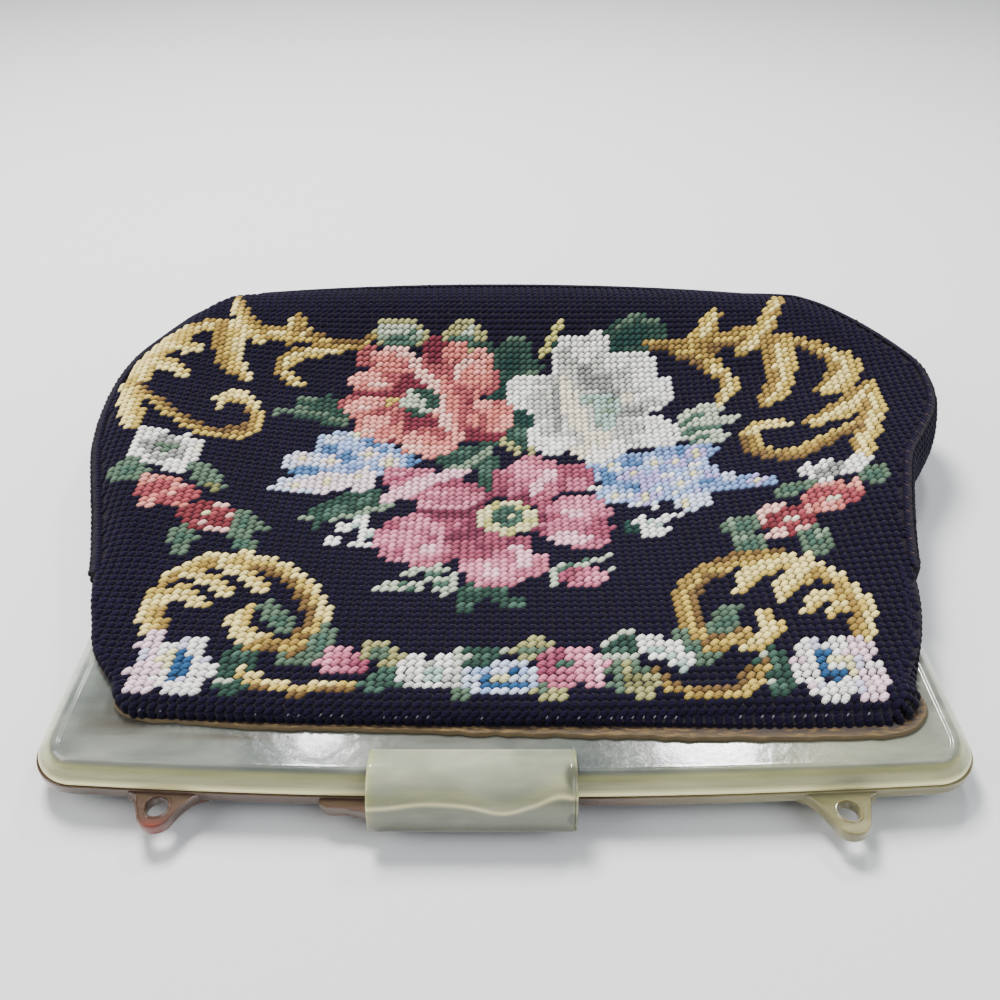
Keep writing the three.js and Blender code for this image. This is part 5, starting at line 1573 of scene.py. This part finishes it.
# A stitch's rings along the yarn: place, width and height, each from 0 to 1.
FULL_STITCH = [(-1, 0.55, 0), (-0.7, 0.88, 0.7), (0, 1, 1), (0.7, 0.88, 0.7), (1, 0.55, 0)]
PLAIN_STITCH = [(-1, 0.5, 0), (0, 1, 1), (1, 0.5, 0)]
YARN_SECTION = [(-1.25, 0), (-0.6, 0.86), (0.6, 0.86), (1.25, 0)]


def work_stitches(
    name, frames, colours, length, width, seed, rings=FULL_STITCH, slant=None, base=-0.9 * CANVAS_DROP,
    rise=CANVAS_DROP + STITCH_RISE, material=None
):
    """A piece of slanting lobes of yarn at the given frames, in one colour or one for each."""
    look = bpy.context.scene.handbag_needlepoint
    here, across, along, out = (part.reshape(-1, 3) for part in frames)
    random = np.random.default_rng(seed)
    count = len(here)
    angle = (look.slant if slant is None else slant) + random.normal(0, look.unevenness * 0.09, count)
    lean = np.stack([np.cos(angle), np.sin(angle)], -1)
    way = across * lean[:, :1] + along * lean[:, 1:]
    side = along * lean[:, :1] - across * lean[:, 1:]
    here = here + (
        across * random.normal(0, 1, (count, 1)) + along * random.normal(0, 1, (count, 1))
    ) * look.unevenness * 0.06 * MM
    rings, section = np.array(rings), np.array(YARN_SECTION)
    grow = 1 + random.normal(0, 0.05, (count, 1, 1)) * look.unevenness
    t = rings[None, :, None, 0]
    wide = rings[None, :, None, 1] * section[None, None, :, 0] * width / 2 * grow
    high = base + rings[None, :, None, 2] * (0.12 + 0.88 * section[None, None, :, 1]) * rise * grow
    points = (
        here[:, None, None] + way[:, None, None] * (t * length / 2)[..., None]
        + side[:, None, None] * wide[..., None] + out[:, None, None] * high[..., None]
    )
    size = len(rings) * len(section)
    one = grid_faces(len(rings), len(section))[:, ::-1]
    faces = (one[None] + np.arange(count)[:, None, None] * size).reshape(-1, 4)
    piece = add_mesh(name, points, faces)
    # Painted shade, with some dirt, darkens the yarn where it goes down into the canvas.
    depth = 0.34 + 0.66 * np.clip(rings[:, None, 2] * section[None, :, 1] * 1.2, 0, 1)
    fade = 1 + random.normal(0, 0.09, (count, 1, 1))
    tone = np.broadcast_to(colours, (count, 3))[:, None, :] * depth.reshape(1, size, 1) * fade
    wool = np.concatenate([tone, np.ones((count, size, 1))], -1)
    layer = piece.data.color_attributes.new("wool", "FLOAT_COLOR", "POINT")
    layer.data.foreach_set("color", np.clip(wool, 0, 1).astype(np.float32).ravel())
    flat = np.stack(np.broadcast_arrays(rings[:, None, 0] * length / width, section[None, :, 0]), -1).reshape(-1, 2)
    ply = piece.data.uv_layers.new(name="ply")
    ply.uv.foreach_set("vector", np.tile(flat[one.ravel()], (count, 1)).astype(np.float32).ravel())
    return finish_piece(piece, "bag", "needlepoint", material or once(tapestry_wool))


class Chart:
    """The needlepoint's chart: a wool for each stitch."""

    names = list(WOOLS)

    def __init__(self, rows, reach):
        self.x, self.y = np.meshgrid(np.arange(-reach, reach + 1), np.arange(rows) + 0.5)
        self.cells = np.zeros(self.x.shape, int)
        self.random = np.random.default_rng(7)

    def fill(self, mask, wool):
        self.cells[mask] = self.names.index(wool)

    def local(self, x, y, turn):
        c, s = turned(turn)
        return (self.x - x) * c + (self.y - y) * s, (self.y - y) * c - (self.x - x) * s

    def dab(self, dab):
        u, v = self.local(dab.x, dab.y, dab.turn)
        self.fill((u / dab.across) ** 2 + (v / dab.along) ** 2 < 1, dab.wool)

    def petal(self, petal):
        """A petal with streaks along it, from its dark base to its light tip."""
        u, v = self.local(petal.x, petal.y, petal.turn)
        u, v = u / petal.reach, v / petal.wide
        inside = u**2 + v**2 < 1
        shade = (u + 1) / 2 + 0.13 * np.cos(7 * v + petal.x) + self.random.normal(0, 0.06, u.shape)
        step = np.clip((shade * len(petal.wools)).astype(int), 0, len(petal.wools) - 1)
        for i, wool in enumerate(petal.wools):
            self.fill(inside & (step == i), wool)

    def line(self, line):
        """A stroke that swells and thins."""
        points = spline(line.points, 8)
        best = np.full(self.x.shape, 9.0)
        lean = np.zeros(self.x.shape)
        for here, after in zip(points, points[1:]):
            way = after[:2] - here[:2]
            dx, dy = self.x - here[0], self.y - here[1]
            t = np.clip((dx * way[0] + dy * way[1]) / max(way @ way, 1e-9), 0, 1)
            share = np.hypot(dx - t * way[0], dy - t * way[1]) / ((here[2] + (after[2] - here[2]) * t) / 2)
            closer = share < best
            best = np.where(closer, share, best)
            lean = np.where(closer, np.sign(way[0] * dy - way[1] * dx) * share, lean)
        lean = lean + self.random.normal(0, 0.12, lean.shape)
        edges = np.linspace(1, -1, len(line.wools) + 1)
        edges[0], edges[-1] = 9, -9
        for wool, high, low in zip(line.wools, edges, edges[1:]):
            self.fill((best < 1) & (lean <= high) & (lean > low), wool)

    def floret(self, floret):
        for wool, dx, dy in (
            (floret.wool, 1, 0), (floret.wool, -1, 0), (floret.wool, 0, 1), (floret.wool, 0, -1),
            ("straw", 0, 0)
        ):
            self.fill((np.abs(self.x - floret.x - dx) <= 0.5) & (np.abs(self.y - floret.y - dy) <= 0.5), wool)


def drawn_chart(rows, reach):
    """The whole design, drawn motif by motif."""
    chart = Chart(rows, reach)
    draw = {Dab: chart.dab, Petal: chart.petal, Line: chart.line, Floret: chart.floret}
    for motif in [
        *LEAVES, *SCROLLS, *BLUE_SPRAYS, *FLORETS, *CORAL_ROSE, *WHITE_ROSE, *DOG_ROSE, *SIDE_FLOWERS,
        *CORNER_FLOWERS, *GARLAND
    ]:
        draw[type(motif)](motif)
    return chart


def wool_colours(cells):
    """Linear colours of wools, by their places in WOOLS."""
    return np.array([linear(colour) for colour in WOOLS.values()])[cells]


# Settings


class NeedlepointSettings(bpy.types.PropertyGroup):
    """Sizes of the tent stitch."""

    pitch: FloatProperty(
        name="Stitch pitch", description="Spacing of the stitches across and along", default=2.45 * MM,
        unit="LENGTH", precision=5
    )
    slant: FloatProperty(
        name="Ground slant", description="Slope of a ground stitch, which runs into the next one along the row",
        default=math.radians(51), subtype="ANGLE"
    )
    motif_slant: FloatProperty(
        name="Motif slant", description="Slope of a stitch in the flowers and scrolls",
        default=math.radians(48), subtype="ANGLE"
    )
    length: FloatProperty(
        name="Stitch length", description="Length of a stitch's lobe", default=3.3 * MM, unit="LENGTH",
        precision=5
    )
    yarn: FloatProperty(
        name="Yarn width", description="Width of the yarn on the canvas", default=1.62 * MM, unit="LENGTH",
        precision=5
    )
    unevenness: FloatProperty(
        name="Unevenness", description="How much the stitches differ by hand", default=1.0, min=0, max=3
    )


class CelluloidSettings(bpy.types.PropertyGroup):
    """Tints of the celluloid."""

    cream_hex: bpy.props.StringProperty(
        name="Cream", description="Tint of the bevel and rim, as an sRGB hex value", default="#b0b07c"
    )
    aged_hex: bpy.props.StringProperty(
        name="Aged cream", description="Darker tint of the bevel, as an sRGB hex value", default="#8a8b5e"
    )
    # The rim tint is a painted highlight, along the frame's rim and the cover's seam.
    rim_highlight_hex: bpy.props.StringProperty(
        name="Rim", description="Tint of the thin rim, as an sRGB hex value", default="#fdf2b0"
    )


class StageSettings(bpy.types.PropertyGroup):
    """Floor, lamps and camera."""

    floor: FloatVectorProperty(
        name="Floor", description="Colour of the floor", subtype="COLOR", default=linear("#d9dadb"), min=0,
        max=1
    )
    key: FloatProperty(name="Key lamp", description="Power of the key lamp in watts", default=24.0, min=0)
    fill: FloatProperty(name="Fill lamp", description="Power of the fill lamp in watts", default=7.0, min=0)
    window: FloatProperty(
        name="Window lamps",
        description="Power of the two small lamps that the gloss reflects, in watts to the square metre",
        default=320, min=0
    )
    lens: FloatProperty(name="Lens", description="Focal length of the camera in millimetres", default=36.0)
    tilt: FloatProperty(
        name="Tilt", description="How far the camera looks down", default=math.radians(37), subtype="ANGLE"
    )
    camera: FloatVectorProperty(
        name="Camera", description="Camera's place from the middle of the rim", subtype="XYZ", unit="LENGTH",
        default=(-1.2 * MM, -149 * MM, 211.3 * MM)
    )


# Operators


class HANDBAG_OT_frame(bpy.types.Operator):
    """Builds both halves of the celluloid frame"""

    bl_idname = "handbag.frame"
    bl_label = "Frame"

    def execute(self, context):
        front = frame_bar("frame_front_shell", FRONT_LAND, 0, 1)
        fit_hinges(front, FRONT_LUG, BACK_LUG)
        front.data.shade_smooth()
        front.data.set_sharp_from_angle(angle=math.radians(38))
        points = places(front)
        x, y, z = points.T
        bevel = 1 - smoothstep(z, FACE - 1.6 * MM, FACE - 0.25 * MM)
        bar = 1 - smoothstep(y, 14 * MM, 40 * MM)
        # Painted highlight along the rim's upright land, strongest along the bar.
        rim = 1 - smoothstep(z - PARTING, 1.1 * MM, 2 * MM)
        olive = hump(x - 66 * MM, 26 * MM)
        # The face is darker towards the hem.
        darkened_toward_hem = smoothstep(rim_inset(x, y), 7 * MM, HEM_INSET - 3 * MM) * (z > FACE - MM)
        store(
            front, cream=bevel * (0.2 + 0.7 * bar) + 0.12 * smoothstep(x, 20 * MM, 90 * MM) + 0.2 * olive * bar,
            rim=rim * (0.35 + 0.65 * bar), pale=0.75 * (1 - bar) + 0.35 * smoothstep(x, 60 * MM, 105 * MM),
            dark=np.maximum(stain_mask(points, np.array(FACE_SMUDGES) * MM), 0.45 * darkened_toward_hem),
            stain=stain_mask(points, np.array(FACE_STAINS) * MM),
        )
        finish_piece(front, "bag", "celluloid", once(cast_celluloid), "frame_front")

        back = frame_bar("frame_back_bar", BACK_LAND, BACK_STEP, -1)
        fit_hinges(back, BACK_LUG, FRONT_LUG)
        shell = join("frame_back_shell", [back, *(build_ear(ear) for ear in EARS), clasp_lug()])
        points = places(shell)
        right = smoothstep(points[:, 0], 20 * MM, 70 * MM)
        tip = stain_mask(points, [(EARS[0].side * EARS[0].across, -EARS[0].reach + 1.5 * MM, 5 * MM, 2.2 * MM)])
        store(shell, cream=0.12 + 0.85 * right, red=0.8 * tip)
        finish_piece(shell, "bag", "celluloid", once(mauve_celluloid), "frame_back")
        return {"FINISHED"}


class HANDBAG_OT_clasp(bpy.types.Operator):
    """Builds the turning clasp cover with its webs"""

    bl_idname = "handbag.clasp"
    bl_label = "Clasp cover"

    def execute(self, context):
        cover = join("clasp_cover_shell_joined", [build_cover(), *cover_webs()])
        points = places(cover)
        x, y, z = points.T
        across, height = spline(COVER_SEAM_HIGHLIGHT, 80).T
        line = np.interp((x - COVER_LEFT) / (COVER_RIGHT - COVER_LEFT), across, height * MM)
        # Painted highlight along the seam line.
        seam = hump(z - line, 0.45 * MM) * (y < 0)
        # Painted shade: the cover's lower part, facing down and forward, is made darker and less pale.
        lower = (
            0.45 + 0.55 * (1 - smoothstep(z, 4 * MM, 13 * MM))
        ) * (1 - smoothstep(z, line - MM, line)) * (y < 4 * MM)
        middle = smoothstep(z, line, line + MM) * (1 - smoothstep(z, line + 1.5 * MM, line + 4 * MM)) * (y < 0)
        ends = np.maximum(hump(x - COVER_LEFT, 1.4 * MM), hump(x - COVER_RIGHT, 1 * MM))
        marks = np.maximum(
            np.exp(
                -(((x - COVER_RIGHT + 1.4 * MM) / (1.3 * MM)) ** 2 + ((y + 0.4 * MM) / (2.4 * MM)) ** 2)
            ) * (z > FACE - 2 * MM),
            np.exp(-(((x - COVER_RIGHT + 1.2 * MM) / (1.1 * MM)) ** 2 + ((z - 10 * MM) / (1.6 * MM)) ** 2)) * (y < 0),
        )
        store(
            cover, cream=0.3 + 0.3 * middle + 0.5 * ends, rim=0.6 * seam, pale=1 - 0.7 * lower,
            dark=np.maximum(0.75 * lower, np.clip(2.6 * marks, 0, 1.33)), stain=0 * x,
        )
        finish_piece(cover, "clasp_cover", "celluloid", once(cast_celluloid), "clasp_cover")
        return {"FINISHED"}


class HANDBAG_OT_pins(bpy.types.Operator):
    """Gives the hidden pins their steel"""

    bl_idname = "handbag.pins"
    bl_label = "Pins"

    def execute(self, context):
        for name in ("hinge_pin_left", "hinge_pin_right", "clasp_pin"):
            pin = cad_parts[name]
            pin.data.materials.clear()
            pin.data.materials.append(once(drawn_steel))
        return {"FINISHED"}


def hem_swing(x):
    """How far the hem hangs out over the frame's face."""
    return HEM_SWING * smoothstep(x, 10 * MM, 95 * MM)


def hem_line(count):
    """Places along the front panel's free edge, from arm to arm: point and outward way in plan."""
    share = np.linspace(0, 0.4, 600)
    left, right = seams(share)
    bar_x = np.linspace(left[0], right[0], 300)[1:-1]
    line = np.vstack([
        front_point(share, left)[::-1],
        front_point(np.zeros(len(bar_x)), bar_x),
        front_point(share, right),
    ])
    line = line[(line[:, 1] < GUSSET_START)]
    arc = along_line(line[:, :2])
    line = resampled(line, arc, np.linspace(0, arc[-1], count) if count else arc)
    way = unit(np.gradient(line[:, :2], axis=0))
    out = np.stack([way[:, 1], -way[:, 0]], -1)
    line[:, :2] += out * (
        hem_swing(line[:, 0]) * (1 - smoothstep(line[:, 1], HEM_INSET + 4 * MM, HEM_INSET + 3 * HEM_CORNER))
    )[:, None]
    return line, out, arc[-1]


class HANDBAG_OT_edging(bpy.types.Operator):
    """Builds the glued tape between the hem and the frame"""

    bl_idname = "handbag.edging"
    bl_label = "Edging"

    def execute(self, context):
        line, out, _ = hem_line(520)
        random = np.random.default_rng(5)
        up = (line[:, 1] - HEM_INSET) / (HEM_CORNER + EDGING_ARM)
        kept = up < 1
        line, out, up = line[kept], out[kept], up[kept]
        knots = np.arange(0, len(line) + 5, 5)
        wander = np.interp(np.arange(len(line)), knots, random.normal(0, 0.22 * MM, len(knots)))
        # It shows most at the right, and hardly at the left corner.
        wide = EDGING_WIDTH * (
            0.25 + 0.3 * smoothstep(line[:, 0], -95 * MM, -60 * MM) + 0.4 * smoothstep(line[:, 0], -40 * MM, 30 * MM)
        )
        shown = wide + (EDGING_ARM_WIDTH - wide) * smoothstep(up, 0, 0.6) + wander
        low = FACE + 0.05 * MM
        high = FACE + GAP + EDGING_THICK
        profile = [
            (1, 0, low), (1, -0.15, high - 0.35 * MM), (1, -0.5, high), (0.4, 0, high - 0.1 * MM), (0, 0, high),
            (0, -EDGING_UNDER / MM, high), (0, -EDGING_UNDER / MM, low)
        ]
        loops = []
        for share, extra, z in profile:
            plan = line[:, :2] + out * (shown * share + extra * MM)[:, None]
            loops.append(np.column_stack([plan, np.full(len(plan), z)]))
        tape = loft("edging_tape", np.stack(loops, 1), 35)
        from_hem = np.tile([1, 1, 0.85, 0.4, 0, 0, 0], len(line))
        store(tape, edge=smoothstep(from_hem, 0.7, 1) * 0.8, shade=1 - smoothstep(from_hem, 0, 0.5))
        finish_piece(tape, "bag", "glued_strip", once(glued_tape), "edging")
        return {"FINISHED"}


class HANDBAG_OT_canvas(bpy.types.Operator):
    """Builds the canvas under the stitches: front, gusset and back"""

    bl_idname = "handbag.canvas"
    bl_label = "Canvas"

    def execute(self, context):
        canvas = once(cotton_canvas)
        faces = [panel_grid(front_point, 70, 71, -drop) for drop in (CANVAS_DROP, CLOTH)]
        for face in faces:
            face[0, :, 1] -= hem_swing(face[0, :, 0])
            face[0, :, 2] -= 0.4 * hem_swing(face[0, :, 0])
        front = sheet("front_canvas", *faces)
        back = sheet(
            "back_canvas", panel_grid(back_point, 70, 71, CLOTH), panel_grid(back_point, 70, 71, CANVAS_DROP)
        )
        line, _ = gusset_line(260)
        side = sheet("gusset_canvas", gusset_grid(line, 12, -CLOTH), gusset_grid(line, 12, -CANVAS_DROP))
        for piece, node_name in ((front, "front_panel"), (back, "back_panel"), (side, "gusset")):
            face_out(piece)
            finish_piece(piece, "bag", "needlepoint", canvas, node_name)
        return {"FINISHED"}


class HANDBAG_OT_cloth(bpy.types.Operator):
    """Does nothing; it returns at once"""

    bl_idname = "handbag.cloth"
    bl_label = "Cloth"

    def execute(self, context):
        return {"FINISHED"}


class HANDBAG_OT_front(bpy.types.Operator):
    """Works the front panel's chart in tent stitch"""

    bl_idname = "handbag.front"
    bl_label = "Front needlepoint"

    def execute(self, context):
        look = context.scene.handbag_needlepoint
        rows = row_shares(look.pitch)
        chart = drawn_chart(len(rows), CHART_REACH)
        share = np.broadcast_to(rows[:, None], chart.x.shape)
        x = chart.x * look.pitch
        inside = clear_of_seams(share, x, look.pitch)
        for name, chosen, slant, long, seed in (
            ("front_ground_stitches", chart.cells == GROUND, look.slant, 0.9 * look.length, 11),
            ("front_motif_stitches", chart.cells != GROUND, look.motif_slant, look.length, 12),
        ):
            worked = inside & chosen
            frames = frames_on(front_point, share[worked], x[worked])
            work_stitches(name, frames, wool_colours(chart.cells[worked]), long, look.yarn, seed, slant=slant)
        return {"FINISHED"}


class HANDBAG_OT_sides(bpy.types.Operator):
    """Works the gusset and the back panel in the ground wool"""

    bl_idname = "handbag.sides"
    bl_label = "Gusset and back needlepoint"

    def execute(self, context):
        look = context.scene.handbag_needlepoint
        ground = wool_colours(GROUND)
        line, arc = gusset_line(None)
        columns = int(arc[-1] / look.pitch)
        line = resampled(line, arc, (np.arange(columns) + 0.5) * look.pitch)
        fine = gusset_grid(line, GUSSET_STEPS + 1, 0)
        parts = []
        for k in range(columns):
            height = line[k, 3] - line[k, 2]
            count = int(height / look.pitch)
            share = 1 - (np.arange(count) + 0.6) * look.pitch / height
            index = np.clip((share * GUSSET_STEPS).astype(int), 1, GUSSET_STEPS - 1)
            here = fine[k, index]
            up = unit(fine[k, index + 1] - fine[k, index - 1])
            before, after = fine[max(k - 1, 0), index], fine[min(k + 1, columns - 1), index]
            across = unit(before - after)
            parts.append(np.stack([here, across, up, unit(np.cross(across, up))], 1))
        frames = np.concatenate(parts).swapaxes(0, 1)
        work_stitches("gusset_stitches", frames, ground, look.length, look.yarn, 13)

        rows, columns = row_shares(look.pitch), np.arange(-CHART_REACH, CHART_REACH + 1)
        share, x = np.broadcast_arrays(rows[:, None], (columns * look.pitch)[None, :])
        inside = clear_of_seams(share, x, look.pitch)
        here, across, along, out = frames_on(back_point, share[inside], x[inside])
        frames = (here + out * LIFT, -across, along, -out)
        work_stitches(
            "back_stitches", frames, ground, look.length, look.yarn, 14, rings=PLAIN_STITCH, rise=CANVAS_DROP
        )
        return {"FINISHED"}


class HANDBAG_OT_hem(bpy.types.Operator):
    """Works the rolled hem, the whipped seam and the sewing threads"""

    bl_idname = "handbag.hem"
    bl_label = "Hem and seams"

    def execute(self, context):
        look = context.scene.handbag_needlepoint
        ground = wool_colours(GROUND)
        length = hem_line(0)[2]
        line, out, _ = hem_line(int(length / look.pitch))
        way, outward = level(unit(np.gradient(line[:, :2], axis=0))), level(out)
        parts = []
        slack = hem_swing(line[:, :1])
        for share, push, drop, tilt in HEM_ROWS:
            c, s = turned(tilt)
            normal = UP * c + outward * s
            here = line + outward * (push * MM - slack * (1 - share)) + UP * drop * MM
            parts.append((here, way, np.cross(normal, way), normal))
        frames = [np.concatenate(part) for part in zip(*parts)]
        work_stitches(
            "hem_roll_stitches", frames, ground, 0.8 * look.length, look.yarn, 15, slant=math.radians(55)
        )

        seam, arc = gusset_line(None)
        finer = look.pitch / RIDGE_FINER
        index = np.arange(int(arc[-1] / finer))
        seam = resampled(seam, arc, (index + 0.5) * finer)
        way = level(unit(np.gradient(seam[:, :2], axis=0)))
        outward = level(np.stack([-way[:, 1], way[:, 0]], -1))
        normal = unit(UP + 0.8 * outward)
        top = np.column_stack([seam[:, :2], seam[:, 3]]) + outward * 0.6 * MM
        frames = (top, way, np.cross(normal, way), normal)
        # The whipped seam is the ground wool made a quarter lighter: a painted highlight along its ridge.
        work_stitches(
            "seam_stitches", frames, ground * 1.25, 0.95 * look.length, 0.75 * look.yarn, 16,
            slant=math.radians(50), rise=1.05 * MM
        )

        chosen = (index > THREAD_FROM * len(index)) & (index % THREAD_EVERY == 0)
        work_stitches(
            "seam_thread", [part[chosen] for part in frames], linear("#6b4038"), 1.8 * MM, 0.35 * MM, 17,
            slant=math.radians(112), base=0.25 * MM, rise=0.45 * MM,
            material=once(cotton_thread, "rust_cotton_thread", "#4c2c2b")
        )

        dashes = int(length / MACHINE_STEP)
        line, out, _ = hem_line(dashes)
        worn = 0.42 + 0.35 * np.sin(line[:, 0] / (19 * MM)) * np.sin(line[:, 0] / (47 * MM) + 1)
        kept = np.random.default_rng(18).random(dashes) < worn
        shown = kept & (line[:, 1] < HEM_INSET + HEM_CORNER / 2)
        line, out = line[shown], out[shown]
        way, outward = level(np.stack([-out[:, 1], out[:, 0]], -1)), level(out)
        normal = unit(UP + 0.5 * outward)
        here = line + outward * (-0.35 * MM - 0.5 * hem_swing(line[:, :1])) + UP * 0.05 * MM
        frames = (here, way, np.cross(normal, way), normal)
        work_stitches(
            "machine_stitches", frames, 0.5, 0.95 * MM, 0.32 * MM, 19, slant=math.radians(55), base=0.1 * MM,
            rise=0.35 * MM, material=once(cotton_thread, "grey_cotton_thread", "#595662")
        )
        return {"FINISHED"}


class HANDBAG_OT_stage(bpy.types.Operator):
    """Sets up the floor, the lamps and the camera"""

    bl_idname = "handbag.stage"
    bl_label = "Stage"

    def execute(self, context):
        look = context.scene.handbag_stage
        floor = add_mesh("floor", [(-3, -3, 0), (3, -3, 0), (3, 3, 0), (-3, 3, 0)], [(0, 1, 2, 3)])
        material, tree, shader = new_material("matt_paper", Roughness=0.9)
        where = node(tree, "TexCoord").outputs["Object"]
        grain = node(tree, "TexNoise", {"Vector": where, "Scale": 1 / (2 * MM), "Detail": 3})
        tone = node(tree, "MapRange", {"Value": grain, "To Min": 0.98, "To Max": 1.02})
        shade = node(tree, "HueSaturation", {"Color": (*look.floor, 1), "Value": tone})
        feed(tree, shader.inputs["Base Color"], shade)
        floor.data.materials.append(material)

        world = bpy.data.worlds.new("soft_room")
        world.use_nodes = True
        world.node_tree.nodes["Background"].inputs["Color"].default_value = (0.86, 0.9, 0.95, 1)
        world.node_tree.nodes["Background"].inputs["Strength"].default_value = 0.35
        context.scene.world = world

        centre = np.array([0, 90 * MM, 10 * MM])
        for name, place, size, power, colour in (
            ("key", (-0.25, 0.55, 0.95), 0.3, look.key, (1, 0.98, 0.95)),
            ("fill", (0.7, -0.35, 0.7), 0.9, look.fill, (0.93, 0.96, 1)),
            ("side", (-0.75, -0.1, 0.5), 0.6, look.fill * 0.8, (1, 0.99, 0.97)),
            ("window_left", (-0.215, 0.624, 0.735), 0.05, look.window * 0.05**2, (0.97, 0.98, 1)),
            ("window_right", (0.25, 0.624, 0.735), 0.1, look.window * 0.1**2, (0.97, 0.98, 1)),
        ):
            lamp = bpy.data.lights.new(name, "AREA")
            lamp.energy, lamp.size, lamp.color = power, size, colour
            holder = bpy.data.objects.new(name, lamp)
            context.collection.objects.link(holder)
            holder.visible_glossy = name != "key"  # the gloss shows only the others
            spot = np.array(place)
            holder.location = spot + ORIGIN
            aim = unit(centre - spot)
            holder.rotation_euler = (math.acos(-aim[2]), 0, math.atan2(aim[1], aim[0]) - math.pi / 2)

        camera = bpy.data.cameras.new("camera")
        camera.lens, camera.sensor_width = look.lens, 36
        camera.clip_start, camera.clip_end = 0.01, 20
        eye = bpy.data.objects.new("camera", camera)
        context.collection.objects.link(eye)
        eye.location = np.array(look.camera) + ORIGIN
        eye.rotation_euler = (math.pi / 2 - look.tilt, 0, 0)
        context.scene.camera = eye
        return {"FINISHED"}


class HANDBAG_PT_panel(bpy.types.Panel):
    """Lists the operators and the settings"""

    bl_label = "Handbag"
    bl_idname = "HANDBAG_PT_panel"
    bl_space_type = "VIEW_3D"
    bl_region_type = "UI"
    bl_category = "Handbag"

    def draw(self, context):
        for group in SETTINGS:
            for name in group[0].__annotations__:
                self.layout.prop(getattr(context.scene, group[1]), name)
        for operator in OPERATORS:
            self.layout.operator(operator.bl_idname)


SETTINGS = [
    (NeedlepointSettings, "handbag_needlepoint"),
    (CelluloidSettings, "handbag_celluloid"),
    (StageSettings, "handbag_stage"),
]
OPERATORS = [
    HANDBAG_OT_stage,
    HANDBAG_OT_frame,
    HANDBAG_OT_clasp,
    HANDBAG_OT_pins,
    HANDBAG_OT_edging,
    HANDBAG_OT_canvas,
    HANDBAG_OT_front,
    HANDBAG_OT_sides,
    HANDBAG_OT_hem,
    HANDBAG_OT_cloth,
]


def register():
    for group, name in SETTINGS:
        bpy.utils.register_class(group)
        setattr(bpy.types.Scene, name, PointerProperty(type=group))
    for kind in (*OPERATORS, HANDBAG_PT_panel):
        bpy.utils.register_class(kind)


def unregister():
    for kind in (HANDBAG_PT_panel, *reversed(OPERATORS)):
        bpy.utils.unregister_class(kind)
    for group, name in reversed(SETTINGS):
        delattr(bpy.types.Scene, name)
        bpy.utils.unregister_class(group)


def main():
    register()
    for operator in OPERATORS:
        group, name = operator.bl_idname.split(".")
        getattr(getattr(bpy.ops, group), name)()


if __name__ == "__main__":
    main()
